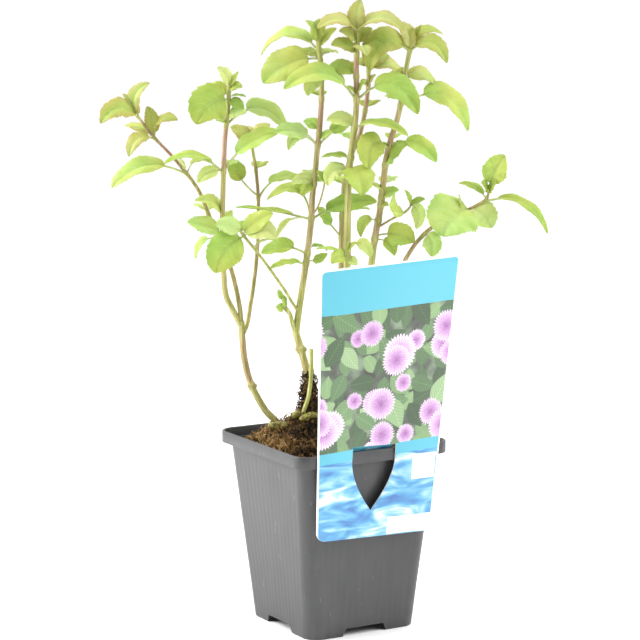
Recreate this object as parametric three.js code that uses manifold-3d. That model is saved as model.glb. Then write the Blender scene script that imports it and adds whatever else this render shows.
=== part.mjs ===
// A mint plant in the square nursery pot it is sold in, with the printed plant label hooked
// over the pot's rim. Millimetres, +Z up. The origin is on the ground, in the middle of the
// plant's whole width and depth, and the label hangs on the pot's -Y face.
import * as THREE from "three";
import { mergeVertices } from "three/addons/utils/BufferGeometryUtils.js";
import Module from "manifold-3d";

const wasm = await Module();
wasm.setup();

// ---- Driving dimensions -------------------------------------------------------------------

const GAP = 0.3; // clearance between pieces that only touch
const POT_AT = [5, -5.2]; // the pot's axis: the plant spreads more to the left and back

// Pot: a thin moulded wall that steps out to a wider rim.
const POT_HEIGHT = 99.6;
const RIM_HALF = 45; // half the outside width at the rim
const RIM_DROP = 6.4; // height of the rim's upright band
const WALL_TOP_HALF = 41.2; // half the outside width just under the rim
const FOOT_HALF = 32.2; // half the outside width at the ground
const CORNER_RADIUS = 8;
const CORNER_STEPS = 3;
const WALL = 1.0;
const FLOOR_HEIGHT = 4.2; // underside of the raised floor
const NOTCH_HALF = 11.5; // drainage notch in the middle of each foot edge
const NOTCH_FLARE = 2.0; // how much wider the notch is at the ground
const NOTCH_HEIGHT = 4.7;
const DRAIN_RADIUS = 3.2;
const DRAIN_SPREAD = 19; // distance of the drain holes from the pot's axis

// Label: a stiff plastic sheet, wider at the top, with a pointed tongue cut out of it.
const LABEL_TOP_Z = 196.5;
const LABEL_FOOT_Z = 54;
const LABEL_TOP_HALF = 41;
const LABEL_FOOT_HALF = 34;
const LABEL_CORNER = 5;
const LABEL_THICK = 0.7;
const LABEL_LEAN = THREE.MathUtils.degToRad(4); // leans out at the top
const LABEL_TILT = THREE.MathUtils.degToRad(1.6); // hangs a little askew
const TONGUE_TOP_Z = 102.2;
const TONGUE_LENGTH = 34;
const TONGUE_HALF = 12.8;
const TONGUE_X = -3; // the tongue is a little left of the middle

// Soil: compost with a mossy mound round the feet of the left stems, where old roots have
// lifted it, and a crust of it up the thickest stem.
const SOIL_EDGE_Z = 95.5;
const SOIL_DIP = 4; // how far the soil has shrunk down in the left back corner
const MOUND_HEIGHT = 10.5;
const MOUND_REACH = 18;
const MOUND_AT = [-15.5, 13.5];
const SOIL_RINGS = 6;
const CRUST_TOP_Z = 117;
const CRUST_RADII = [5.4, 3.9]; // at the soil and at its top

// Plant: everything below is from the pot's axis in the plant's own axes: x across, y away from the label side,
// z up. The plant stands in its pot turned by this angle.
const PLANT_TURN = THREE.MathUtils.degToRad(-30.5);
const STEM_FOOT_Z = 82; // how deep the stems are set in the soil
const BLADE_THICK = 0.6;
const FOLD = 0.16; // how far a blade's edges stand above its rib, as a share of their distance
const PETIOLE_HALF = 0.6;
const MERGE = 0.06; // points nearer than this become one when leaves are joined to a stem
const SLIGHT_LEAF = 18; // leaves shorter than this are flat

// Each leafy stem is a list of shoots. A shoot's route is the line that it grows along and
// thick its radius at foot and tip. Each leaf is written as
// [height on the shoot, reach of its tip in x, y, z, width, arch, roll, share that is stalk]:
// arch is the rise of the leaf above a straight line to its tip, as a share of its length, and
// roll turns its upper face from the sky towards the label side, in degrees.
const LEFT_STEM = [
  {
    thick: [1.9, 1.7],
    route: [
      [-27, 8, STEM_FOOT_Z], [-27, 8, 98], [-30, 8, 105], [-35, 9, 110], [-40, 10, 118], [-44, 11, 127],
      [-46.5, 11, 138], [-47.5, 11, 148], [-48, 11, 158],
    ],
    leaves: [],
  },
  {
    thick: [1.6, 1.05],
    route: [
      [-47.8, 11, 155], [-52, 11, 163], [-56, 10, 172], [-57, 9, 183], [-57.5, 8, 197], [-57.5, 7, 212],
      [-57, 6, 227], [-56.5, 6, 240], [-56, 6, 252], [-55, 6, 262], [-54, 6, 272], [-53.5, 6, 282],
    ],
    leaves: [
      [202, -14, 2, -11, 6, 0.3, 40, 0.35],
      [205, -18, -3, 6, 11, 0.05, 50, 0.12],
      [211, -14, -2, 11, 10, 0.3, 35, 0.2],
      [211, 5, 6, 5, 5, 0, 30, 0.2],
      [237, -30, -10, 5, 10, 0.2, 15, 0.22],
      [238, -13, -7, -6, 8, 0.15, 45, 0.2],
      [238, 29, -5, 20, 12, 0.12, 45, 0.3],
      [237, 6, 14, 3, 9, 0.2, 0, 0.2],
      [262, 31, 7, -4.5, 14, 0.32, 40, 0.3],
      [266, 10, -6, 2, 8, 0.1, 50, 0.15],
      [262, -5, -5, 2, 4, 0.1, 40, 0.2],
      [262, -5, 13, 3, 10, 0.15, 0, 0.2],
      [274.5, -16, -9, -12, 21, 0.2, 60, 0.08],
      [274, 8, -4, -4, 6, 0.1, 50, 0.1],
      [276, 9, -2, 0, 4, 0.1, 10, 0.2],
      [277, -12, 2, 0.5, 11, 0.15, 50, 0.1],
      [279, 7, -3, 2, 6, 0.2, 50, 0.1],
      [281, -6, -1, 10, 7.5, 0.15, 60, 0.1],
      [281, 5, -1, 8, 4, 0, 50, 0.1],
    ],
  },
  {
    thick: [1.5, 0.85],
    route: [
      [-47.8, 11, 154], [-49, 12, 166], [-52, 14, 180], [-56, 15, 193], [-60, 16, 203.5], [-64.4, 16, 212],
      [-69, 16, 224], [-72.8, 16, 230.5], [-77, 16, 236], [-84, 16, 244.5], [-93.5, 16, 254.5],
      [-101.5, 16, 265],
    ],
    leaves: [
      [235.3, -38, -12, -6.5, 14, 0.2, 30, 0.27],
      [235.3, 12, 5, 5, 6, 0.3, 10, 0.3],
      [214, -6, 13, 3, 10, 0.15, 0, 0.15],
      [237, -2, -4, 7, 5, 0, 20, 0.1],
      [254.5, 13, -7, 9, 9, 0.3, 35, 0.15],
      [255, -3, 2, 15, 8, 0.1, 60, 0.1],
      [253.5, -13, -9, -8.5, 9, 0.3, 30, 0.15],
      [254.5, -15.5, 9, 5, 7, 0.1, 30, 0.15],
      [264.5, -19, -8, -2.5, 13, 0.3, 45, 0.08],
      [264.5, 6, -1, 18, 9, 0.28, 60, 0.08],
      [264.5, -8.5, 3, 12, 5, 0.1, 40, 0.1],
    ],
  },
  {
    thick: [1.35, 0.85],
    route: [
      [-47.6, 12, 150], [-45, 16, 156], [-43.5, 18, 165], [-41.5, 20, 178], [-40, 21, 192], [-39.2, 22, 207],
      [-39.2, 22, 222], [-40.3, 22, 236], [-42, 22, 247], [-43, 22, 252],
    ],
    leaves: [
      [223, -14, 1, 19, 10, -0.08, 60, 0.5],
      [222, 25, 2, 8, 9, 0.25, 25, 0.3],
      [236, 4, 12, 3, 9, 0.15, 0, 0.15],
      [250, -11, 2, 9, 9, 0.1, 45, 0.1],
      [251, 10, 1, 9, 9, 0.1, 45, 0.1],
      [251, -2, 6, 8, 6, 0.1, 20, 0.15],
      [250, -3, -5, 5, 5, 0.1, 30, 0.15],
    ],
  },
];

const CENTRE_LEFT_STEM = [
  {
    thick: [2.3, 1.8],
    route: [
      [-13, 2, STEM_FOOT_Z], [-13, 2, 98], [-12.5, 2, 112], [-12.5, 2, 122], [-13.5, 2, 132], [-16, 3, 142],
      [-18.7, 4, 151], [-19.5, 4, 155],
    ],
    leaves: [],
  },
  {
    thick: [1.8, 1.15],
    route: [
      [-19.3, 4, 152], [-18.6, 4, 158], [-17.8, 4, 164], [-16.3, 4, 174], [-14.6, 4, 185], [-12.8, 4, 198],
      [-11.2, 4, 212], [-10.6, 4, 224], [-9.2, 4, 236], [-8, 4, 249], [-6.6, 4, 262], [-5.8, 4, 276],
      [-6, 4, 290], [-7, 4, 300], [-7.5, 4, 305],
    ],
    leaves: [
      [189.5, -18.5, -8, -2, 7, 0.1, 15, 0.15],
      [191, 11, -4, 4, 6, -0.1, 50, 0.3],
      [194.5, -24, 9, -1, 11, 0.15, 40, 0.3],
      [197.5, 10, 3, -2, 5, 0.2, 15, 0.2],
      [213, -39, -3, 6, 9, 0.03, 5, 0.25],
      [213, -23, 7, 9, 9, 0.45, 30, 0.3],
      [213, -18, -6, -10, 4.5, 0.25, 20, 0.45],
      [213, 34, 6, 8, 14, 0.08, 30, 0.25],
      [232, -11.5, -3, -1, 7, 0.2, 50, 0.1],
      [231, -6, -5, -6, 6, 0.2, 60, 0.1],
      [232, 6.5, 3, -1, 6, 0.2, 20, 0.1],
      [233, -4, 13, 3, 9, 0.15, 0, 0.15],
      [251, -22, -5, 7, 12, 0.15, 40, 0.3],
      [251, -15, -4, -2, 9, 0.5, 45, 0.3],
      [251, 19, 3, 14, 9, 0.05, 45, 0.4],
      [252, 8, -3, 6, 5, 0.15, 50, 0.3],
      [257, -8, 6, 6, 7, 0.2, 40, 0.2],
      [287, -7, -4, -10, 8, 0.15, 60, 0.1],
      [285, 10, 8, -2, 8, 0.2, 0, 0.2],
      [275, -5, 13, 2, 10, 0.15, 0, 0.15],
      [296, -29, -5, -12.5, 18, 0.12, 60, 0.18],
      [295, -11, 5, 4, 7, 0.15, 30, 0.2],
      [296, 9, 9, 2, 8, 0.2, 10, 0.2],
      [300, -30, 10, -3, 10, 0.32, 30, 0.12],
      [300, 9, 2, 11, 6, 0.15, 40, 0.15],
      [304, -6.5, -1, 11, 6, 0.15, 50, 0.08],
      [304, 1, 0, 12, 7, 0.1, 75, 0.08],
      [304, 3.5, 2, 12, 6, 0.1, 50, 0.08],
    ],
  },
  {
    thick: [1.4, 1.1],
    route: [[-19.5, 4, 153], [-21, 3, 158], [-22.5, 3, 163], [-25, 3, 166.5]],
    leaves: [
      [166, -5, -2, 1, 5, 0, 80, 0.2],
      [166, -1, -1, 7, 5, 0, 70, 0.1],
      [166, -4, -1, 10, 4, 0, 60, 0.5],
    ],
  },
  {
    thick: [0.85, 0.7],
    route: [
      [-17.8, 4, 164], [-21, 2, 169], [-25, 0, 176], [-31, -2, 185], [-37, -3, 193.5], [-42, -4, 200],
      [-46, -5, 205], [-48, -5, 208],
    ],
    leaves: [
      [199, 12, 3, 3, 5, 0.15, -20, 0.2],
      [205, -14.5, -5, -18.5, 19, 0.12, 65, 0.08],
      [205, 17, -5, -1, 12, 0.25, 60, 0.08],
      [206, 16, -3, 11, 11, 0.05, 60, 0.08],
      [207, -13, -3, 4, 11, 0.1, 55, 0.08],
      [207, 4, 12, 4, 9, 0.1, 0, 0.1],
    ],
  },
  {
    thick: [0.55, 0.45],
    route: [[-11, 4, 214], [-7.5, 1, 220], [-5, 0, 228], [-4, 0, 234]],
    leaves: [
      [232, -4, -1, 6, 5, 0.1, 50, 0.1],
      [232.5, 2, 4, 6, 5, 0.1, 40, 0.1],
    ],
  },
];

const CUT_STEM = [
  {
    thick: [1.1, 1.05],
    route: [
      [-16, -6, STEM_FOOT_Z], [-16, -6, 98], [-16, -6, 106], [-15.2, -6, 113], [-13, -6, 119.5],
      [-11.8, -6, 127], [-11.2, -6, 135], [-11.2, -6, 146],
    ],
    leaves: [],
  },
];

const CENTRE_STEM = [
  {
    thick: [2.2, 1.2],
    route: [
      [6, -6, STEM_FOOT_Z], [6, -6, 100], [6.5, -6, 130], [7, -5, 160], [7.4, -4, 190], [7.6, -3, 215],
      [8.2, -2, 235], [9.8, -2, 250], [11.6, -2, 265], [12.2, -2, 276], [12, -2, 290], [12.3, -2, 302],
      [12.3, -2, 311],
    ],
    leaves: [
      [194, -8, -5, -3, 8, 0.2, 60, 0.1],
      [195, -16, -4, 3.5, 3.5, 0.1, 20, 0.3],
      [196, 5, -4, 6, 4, 0.1, 50, 0.1],
      [193, 5, -4, -3, 5, 0.1, 50, 0.1],
      [199, 12, -4, -5, 7, 0.35, 50, 0.3],
      [240, 6, -10, -13, 17, 0.25, 10, 0.1],
      [238, -11, -3, -7, 10, 0.35, 45, 0.1],
      [245, -15, 3, 0, 6, 0.1, 20, 0.15],
      [261, 27, -9, -4, 9, 0.15, 20, 0.1],
      [260, -14, 5, 4, 10, 0.2, 40, 0.15],
      [275, -37, -11, 6, 13, 0.28, 40, 0.2],
      [287, -15, 4, 3, 10, 0.2, 45, 0.1],
      [275, 31, -12, -6.5, 14, 0.35, 50, 0.25],
      [277, -5, -4, 5, 4, 0.1, 50, 0.1],
      [277, 5, -3, 8, 5, 0.1, 50, 0.1],
      [298, -13, -5, 5, 9, 0.2, 50, 0.1],
      [300, 5, -12, -2, 9, 0.25, 0, 0.1],
      [303, 8, 4, 8, 7, 0.15, 50, 0.1],
      [303, -9, -4, 7, 8, 0.2, 50, 0.1],
      [310, -20, -6, 1.5, 10, 0.25, 35, 0.1],
      [310, 24, -6, 0, 10, 0.28, 35, 0.1],
      [310, 2, 0, 16, 9.5, 0.08, 80, 0.05],
      [310, -1, 5, 12, 8, 0.1, 0, 0.05],
      [309, -4, -5, 4, 6, 0.1, 30, 0.05],
      [309, 4, -5, 4, 6, 0.1, 30, 0.05],
    ],
  },
];

const BACK_STEM = [
  {
    thick: [2.0, 1.0],
    route: [
      [3, 14, STEM_FOOT_Z], [3, 14, 100], [3.5, 14, 130], [4.2, 14, 160], [4.6, 14, 190], [5, 14, 212],
      [6.5, 14, 230], [9.5, 14, 245], [13.5, 14, 254], [16.6, 14, 267], [18.3, 14, 280], [18.6, 14, 292],
    ],
    leaves: [
      [202, -13, -5, 16, 9, 0, 50, 0.45],
      [214, 14, -4, 3, 8, 0.1, 0, 0.2],
      [213, -7, 12, 4, 10, 0.15, 0, 0.15],
      [228, -7, 13, 3, 10, 0.15, 0, 0.2],
      [250, -8, 10, 5, 9, 0.2, 0, 0.2],
      [268, 6, 13, 3, 11, 0.2, 0, 0.15],
      [250, 8, 10, 3, 9, 0.2, 0, 0.2],
      [281, 4, -2, 6, 4, 0.1, 50, 0.1],
      [281, -4, -2, 3, 4, 0.1, 50, 0.1],
      [290, 11, 7, 6, 8, 0.15, 45, 0.1],
      [289, 19, 9, -4, 9, 0.25, 40, 0.1],
      [290, -9, 9, 2, 8, 0.2, 20, 0.1],
      [291, 4, -2, 9, 7, 0.1, 60, 0.05],
      [291, -2, 5, 9, 6, 0.1, 20, 0.05],
    ],
  },
];

const RIGHT_STEM = [
  {
    thick: [2.0, 1.15],
    route: [
      [17, 6, STEM_FOOT_Z], [17, 6, 100], [18, 6, 130], [19, 6, 160], [20.2, 6, 188], [22, 5, 203],
      [24.3, 4, 216], [26, 3, 230], [27.4, 2, 243], [29.6, 2, 253], [33, 2, 264], [35.3, 2, 274],
      [36.7, 2, 284], [38.3, 2, 294], [39.8, 2, 301],
    ],
    leaves: [
      [212, -9, -5, -8, 6, 0.4, 45, 0.2],
      [204, 20, -5, -3, 14, 0.12, 55, 0.3],
      [202, 10, -4, -8, 7, 0.25, 50, 0.3],
      [228, -6, -3, 3, 4, 0.1, 40, 0.1],
      [224, 9, -3, 4, 7, 0.1, 50, 0.1],
      [220, 4, -3, 0, 4, 0.1, 40, 0.1],
      [229, 6, 13, 4, 10, 0.15, 0, 0.2],
      [252, -11, -9.5, -12, 15, 0.4, 50, 0.2],
      [241, 11, -7, 11, 13, 0.1, 50, 0.05],
      [252, 23.5, -10, -8.5, 10, 0.2, 45, 0.3],
      [250, -4, -2, 2, 4, 0.1, 40, 0.1],
      [252, 5, 12, 3, 9, 0.2, 0, 0.2],
      [272, 35, 8, -14, 15, 0.33, 50, 0.25],
      [273, -8, 7, 3, 8, 0.2, 20, 0.2],
      [273, 8, -3, 5, 4.5, 0.1, 40, 0.15],
      [285, 17, 9, -5, 10, 0.25, 45, 0.1],
      [286, 3, 13, 2, 9, 0.15, 0, 0.15],
      [287, -9, 6, -1, 8, 0.25, 20, 0.1],
      [300, -20.5, -5, -10, 16, 0.45, 50, 0.1],
      [300, -7, 2, 14, 8, 0.2, 60, 0.1],
      [300, 18.5, -9, -6, 10, 0.35, 45, 0.12],
      [300, 17, 9, 8, 7, 0.3, 35, 0.1],
      [300, 2, -0.5, 11, 8, 0.1, 75, 0.05],
      [300, 6, 1, 13, 4, 0.05, 50, 0.05],
    ],
  },
  {
    thick: [0.6, 0.5],
    route: [[23, 5, 208], [31, 3, 213], [38, 2, 217], [41, 1, 221]],
    leaves: [
      [217, -6.5, -4, 10, 9, -0.4, 55, 0.1],
      [220.5, 2.5, -4, -12, 8, 0.4, 60, 0.1],
      [220.5, 7, -2, 3, 4.5, 0.1, 50, 0.1],
      [220, -3, -1, 8, 4, 0.1, 50, 0.1],
    ],
  },
];

const OUTER_RIGHT_STEM = [
  {
    thick: [1.4, 0.7],
    route: [
      [28, -4, STEM_FOOT_Z], [28, -4, 100], [29, -4, 130], [31, -3, 160], [35, -2, 185], [42, 0, 199],
      [52, 2, 209], [60, 2, 213.5], [66, 1, 216], [73, 0, 219.5], [79, 0, 223], [80.7, 0, 227],
    ],
    leaves: [
      [205, 3, -4, -11, 11, 0.3, 55, 0.1],
      [212, 5, 13, 3, 10, 0.15, 0, 0.15],
      [218.3, -14, -10, -13, 30, 0.15, 35, 0.05],
      [219, 10, -4, -10, 16, 0.1, 50, 0.05],
      [216, -1, -2, 10, 6, 0.05, 70, 0.15],
      [226.5, 8, -2, 20, 14, 0.05, 75, 0.25],
      [226.5, 4, -5, 6, 9, 0.1, 60, 0.2],
      [226.5, -4, -4, 6, 8, 0.1, 60, 0.2],
      [224, -14, 6, 7, 5.5, 0.15, 25, 0.15],
      [223, 31, -12, -16, 9, 0.22, 15, 0.15],
    ],
  },
];

// ---- Materials ----------------------------------------------------------------------------

const potPlastic = new THREE.MeshStandardMaterial({ color: 0x4a4b4e, roughness: 0.55, metalness: 0 });
const labelPlastic = new THREE.MeshStandardMaterial({ color: 0x86cfe6, roughness: 0.35, metalness: 0 });
const compost = new THREE.MeshStandardMaterial({ color: 0x4b3522, roughness: 1, metalness: 0 });
const leafGreen = new THREE.MeshStandardMaterial({ color: 0x9cc653, roughness: 0.6, metalness: 0 });
const stemGreen = new THREE.MeshStandardMaterial({ color: 0x8c9440, roughness: 0.6, metalness: 0 });

// ---- Solids and booleans ------------------------------------------------------------------

// The closed mesh as a solid that can be cut and joined.
function solidOf(geometry) {
  const bare = new THREE.BufferGeometry().setAttribute("position", geometry.getAttribute("position"));
  if (geometry.index) bare.setIndex(geometry.index);
  const merged = mergeVertices(bare, 1e-4);
  return new wasm.Manifold(
    new wasm.Mesh({
      numProp: 3,
      vertProperties: new Float32Array(merged.getAttribute("position").array),
      triVerts: new Uint32Array(merged.index.array),
    }),
  );
}

// The solid as a geometry with flat shading.
function geometryOf(solid) {
  const mesh = solid.getMesh();
  const geometry = new THREE.BufferGeometry();
  geometry.setAttribute("position", new THREE.BufferAttribute(new Float32Array(mesh.vertProperties), 3));
  geometry.setIndex(new THREE.BufferAttribute(new Uint32Array(mesh.triVerts), 1));
  const flat = geometry.toNonIndexed();
  flat.computeVertexNormals();
  return flat;
}

// Joins rings of points, all with the same count, into one closed skin. Each ring runs
// anticlockwise seen from the far end, and the two end rings are closed by fans.
function skinOver(rings) {
  const count = rings[0].length;
  const points = rings.flat().flatMap((p) => [p.x, p.y, p.z]);
  const faces = [];
  for (let r = 0; r + 1 < rings.length; r++)
    for (let k = 0; k < count; k++) {
      const a = r * count + k;
      const b = r * count + ((k + 1) % count);
      faces.push(a, b, b + count, a, b + count, a + count);
    }
  const last = (rings.length - 1) * count;
  for (let k = 1; k + 1 < count; k++) {
    faces.push(0, k + 1, k);
    faces.push(last, last + k, last + k + 1);
  }
  const geometry = new THREE.BufferGeometry();
  geometry.setAttribute("position", new THREE.Float32BufferAttribute(points, 3));
  geometry.setIndex(faces);
  return geometry;
}

// ---- Pot ----------------------------------------------------------------------------------

// A square ring with round corners at one height, anticlockwise from above.
function squareRing(half, radius, z) {
  const ring = [];
  for (let corner = 0; corner < 4; corner++)
    for (let step = 0; step <= CORNER_STEPS; step++) {
      const turn = ((corner + step / CORNER_STEPS) * Math.PI) / 2;
      const quarter = ((corner + 0.5) * Math.PI) / 2;
      ring.push(
        new THREE.Vector3(
          Math.sign(Math.cos(quarter)) * (half - radius) + radius * Math.cos(turn),
          Math.sign(Math.sin(quarter)) * (half - radius) + radius * Math.sin(turn),
          z,
        ),
      );
    }
  return ring;
}

// The wall's half width outside at a height under the rim.
const wallHalf = (z) => FOOT_HALF + ((WALL_TOP_HALF - FOOT_HALF) * z) / (POT_HEIGHT - RIM_DROP);

function potSolid() {
  const ledge = POT_HEIGHT - RIM_DROP;
  const outside = solidOf(
    skinOver([
      squareRing(FOOT_HALF, CORNER_RADIUS, 0),
      squareRing(WALL_TOP_HALF, CORNER_RADIUS, ledge),
      squareRing(RIM_HALF, CORNER_RADIUS, ledge + 0.01),
      squareRing(RIM_HALF, CORNER_RADIUS, POT_HEIGHT),
    ]),
  );
  const floorTop = FLOOR_HEIGHT + WALL;
  const inside = solidOf(
    skinOver([
      squareRing(wallHalf(floorTop) - WALL, CORNER_RADIUS - WALL, floorTop),
      squareRing(wallHalf(ledge) - WALL, CORNER_RADIUS - WALL, ledge + WALL),
      squareRing(RIM_HALF - WALL, CORNER_RADIUS - WALL, ledge + WALL + 0.01),
      squareRing(RIM_HALF - WALL, CORNER_RADIUS - WALL, POT_HEIGHT + 1),
    ]),
  );
  const underFloor = solidOf(
    skinOver([
      squareRing(FOOT_HALF - WALL, CORNER_RADIUS - WALL, -1),
      squareRing(wallHalf(FLOOR_HEIGHT) - WALL, CORNER_RADIUS - WALL, FLOOR_HEIGHT),
    ]),
  );
  let pot = outside.subtract(inside).subtract(underFloor);
  for (const turned of [false, true]) pot = pot.subtract(notchCutter(turned));
  for (const [x, y] of [[1, 1], [-1, 1], [-1, -1], [1, -1], [0, 0]]) {
    const drain = new THREE.CylinderGeometry(DRAIN_RADIUS, DRAIN_RADIUS, 4 * WALL, 8);
    drain.rotateX(Math.PI / 2);
    drain.translate(x * DRAIN_SPREAD, y * DRAIN_SPREAD, FLOOR_HEIGHT + WALL / 2);
    pot = pot.subtract(solidOf(drain));
  }
  return pot;
}

// One bar through both opposite walls, with sloping ends, cuts a pair of foot notches.
function notchCutter(turned) {
  const outline = new THREE.Shape([
    new THREE.Vector2(-NOTCH_HALF - NOTCH_FLARE, -1),
    new THREE.Vector2(NOTCH_HALF + NOTCH_FLARE, -1),
    new THREE.Vector2(NOTCH_HALF, NOTCH_HEIGHT - 0.6),
    new THREE.Vector2(-NOTCH_HALF, NOTCH_HEIGHT - 0.6),
  ]);
  const reach = 3 * FOOT_HALF;
  const bar = new THREE.ExtrudeGeometry(outline, { depth: reach, bevelEnabled: false });
  bar.translate(0, 0, -reach / 2);
  bar.rotateX(Math.PI / 2);
  if (turned) bar.rotateZ(Math.PI / 2);
  // Keeps the floor whole: the bar only cuts the skirt under it.
  return solidOf(bar);
}

// ---- Label --------------------------------------------------------------------------------

// The label's back passes just clear of the rim's lower edge, and leans out from there.
const labelBackY = (z) => -(RIM_HALF + GAP) - (z - (POT_HEIGHT - RIM_DROP)) * Math.tan(LABEL_LEAN);

function roundedTrapezium() {
  const r = LABEL_CORNER;
  const outline = new THREE.Shape();
  outline.moveTo(-LABEL_FOOT_HALF + r, LABEL_FOOT_Z);
  outline.lineTo(LABEL_FOOT_HALF - r, LABEL_FOOT_Z);
  outline.quadraticCurveTo(LABEL_FOOT_HALF, LABEL_FOOT_Z, LABEL_FOOT_HALF, LABEL_FOOT_Z + r);
  outline.lineTo(LABEL_TOP_HALF, LABEL_TOP_Z - r);
  outline.quadraticCurveTo(LABEL_TOP_HALF, LABEL_TOP_Z, LABEL_TOP_HALF - r, LABEL_TOP_Z);
  outline.lineTo(-LABEL_TOP_HALF + r, LABEL_TOP_Z);
  outline.quadraticCurveTo(-LABEL_TOP_HALF, LABEL_TOP_Z, -LABEL_TOP_HALF, LABEL_TOP_Z - r);
  outline.lineTo(-LABEL_FOOT_HALF, LABEL_FOOT_Z + r);
  outline.quadraticCurveTo(-LABEL_FOOT_HALF, LABEL_FOOT_Z, -LABEL_FOOT_HALF + r, LABEL_FOOT_Z);
  return outline;
}

// Half the tongue's width at a distance down from its fold: straight, then a pointed arch.
function tongueHalf(down) {
  const straight = 8;
  if (down <= straight) return TONGUE_HALF;
  const share = Math.min(1, (down - straight) / (TONGUE_LENGTH - straight));
  return TONGUE_HALF * (1 - share ** 1.7);
}

function tongueHole() {
  const hole = new THREE.Path();
  const steps = 7;
  hole.moveTo(TONGUE_X - TONGUE_HALF, TONGUE_TOP_Z);
  for (let k = 1; k <= steps; k++) {
    const down = 8 + ((TONGUE_LENGTH - 8) * k) / steps;
    hole.lineTo(TONGUE_X - tongueHalf(down), TONGUE_TOP_Z - down);
  }
  for (let k = steps - 1; k >= 1; k--) {
    const down = 8 + ((TONGUE_LENGTH - 8) * k) / steps;
    hole.lineTo(TONGUE_X + tongueHalf(down), TONGUE_TOP_Z - down);
  }
  hole.lineTo(TONGUE_X + TONGUE_HALF, TONGUE_TOP_Z);
  return hole;
}

// The tongue's wall side from its fold, over the rim's lip and down inside the wall: y, z.
const TONGUE_LINE = [
  [-46.4, 102.5], [-45.0, 102.3], [-43.5, 101.3], [-42.4, 99.4], [-40.6, 96.4], [-39.2, 93.4],
  [-38.6, 88], [-37.7, 80], [-36.9, 72.6],
];

function labelSheet() {
  const outline = roundedTrapezium();
  outline.holes.push(tongueHole());
  const sheet = new THREE.ExtrudeGeometry(outline, { depth: LABEL_THICK, bevelEnabled: false, curveSegments: 3 });
  // Stand the sheet up, tilt it about the slot and lean it out over the rim.
  const pivotZ = POT_HEIGHT - RIM_DROP;
  sheet.translate(0, -pivotZ, 0);
  sheet.rotateZ(-LABEL_TILT);
  sheet.rotateX(Math.PI / 2 + LABEL_LEAN);
  sheet.translate(0, labelBackY(pivotZ), pivotZ);
  return solidOf(sheet);
}

// The tongue, grown by a margin all round and by more on its wall side to cut its pocket.
function tongueSolid(margin = 0, wallSide = 0) {
  const rings = [];
  let down = 0;
  TONGUE_LINE.forEach(([y, z], k) => {
    const before = TONGUE_LINE[Math.max(0, k - 1)];
    const after = TONGUE_LINE[Math.min(TONGUE_LINE.length - 1, k + 1)];
    down += Math.hypot(y - before[0], z - before[1]);
    const along = new THREE.Vector2(after[0] - before[0], after[1] - before[1]).normalize();
    const half = Math.max(0.8, tongueHalf(down) - GAP) + margin;
    const at = (x, inward) => new THREE.Vector3(x, y - along.y * inward, z + along.x * inward);
    rings.push([
      at(TONGUE_X - half, -margin - wallSide),
      at(TONGUE_X - half, LABEL_THICK + margin),
      at(TONGUE_X + half, LABEL_THICK + margin),
      at(TONGUE_X + half, -margin - wallSide),
    ]);
  });
  const skin = skinOver(rings);
  const pivotZ = POT_HEIGHT - RIM_DROP;
  skin.translate(0, 0, -pivotZ);
  skin.rotateY(LABEL_TILT);
  skin.translate(0, 0, pivotZ);
  return solidOf(skin);
}

// ---- Soil ---------------------------------------------------------------------------------

// Height of the soil over the pot's axes: the mound, the dip in the left back corner, and
// small lumps from crossed waves.
function soilHeight(x, y) {
  const reach = wallHalf(SOIL_EDGE_Z) - WALL;
  const away = Math.hypot(x - MOUND_AT[0], y - MOUND_AT[1]) / MOUND_REACH;
  const mound = MOUND_HEIGHT * Math.exp(-(away ** 2));
  const corner = Math.max(0, (y - x) / (2 * reach) - 0.5) / 0.5;
  const lumps = 0.7 * Math.sin(0.55 * x + 1.3) * Math.cos(0.48 * y - 0.4) + 0.4 * Math.sin(0.23 * (x + y));
  return SOIL_EDGE_Z + mound - SOIL_DIP * corner + lumps;
}

// The ring with every straight side split.
function splitSides(ring, parts) {
  return ring.flatMap((p, k) => {
    const straight = (k + 1) % (CORNER_STEPS + 1) === 0;
    const next = ring[(k + 1) % ring.length];
    const extra = Array.from({ length: straight ? parts - 1 : 0 }, (_, s) => p.clone().lerp(next, (s + 1) / parts));
    return [p, ...extra];
  });
}

function soilSolid() {
  const floorZ = FLOOR_HEIGHT + WALL + GAP;
  const ringAt = (half, z) => splitSides(squareRing(half, Math.min(CORNER_RADIUS - WALL, half * 0.6), z), 3);
  const shoulderZ = 80;
  const rings = [ringAt(wallHalf(floorZ) - WALL - GAP, floorZ), ringAt(wallHalf(shoulderZ) - WALL - GAP, shoulderZ)];
  // Square rings shrink to the middle, each point lifted to the soil's height.
  for (let k = 0; k <= SOIL_RINGS; k++) {
    const ring = ringAt((wallHalf(SOIL_EDGE_Z - SOIL_DIP) - WALL - GAP) * (1 - k / (SOIL_RINGS + 0.6)), 0);
    for (const p of ring) p.z = soilHeight(p.x, p.y);
    rings.push(ring);
  }
  return solidOf(skinOver(rings));
}

// The crust round the foot of a stem, in the pot's axes.
function crustSolid(shoot) {
  const foot = new THREE.Vector3(...shoot.route[1]).applyAxisAngle(new THREE.Vector3(0, 0, 1), PLANT_TURN);
  const height = CRUST_TOP_Z - foot.z;
  const cone = new THREE.CylinderGeometry(CRUST_RADII[1], CRUST_RADII[0], height, 8);
  cone.rotateX(Math.PI / 2);
  cone.translate(foot.x, foot.y, foot.z + height / 2);
  return solidOf(cone);
}

// ---- Plant --------------------------------------------------------------------------------

const STEM_SIDES = 4; // mint stems are square

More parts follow.
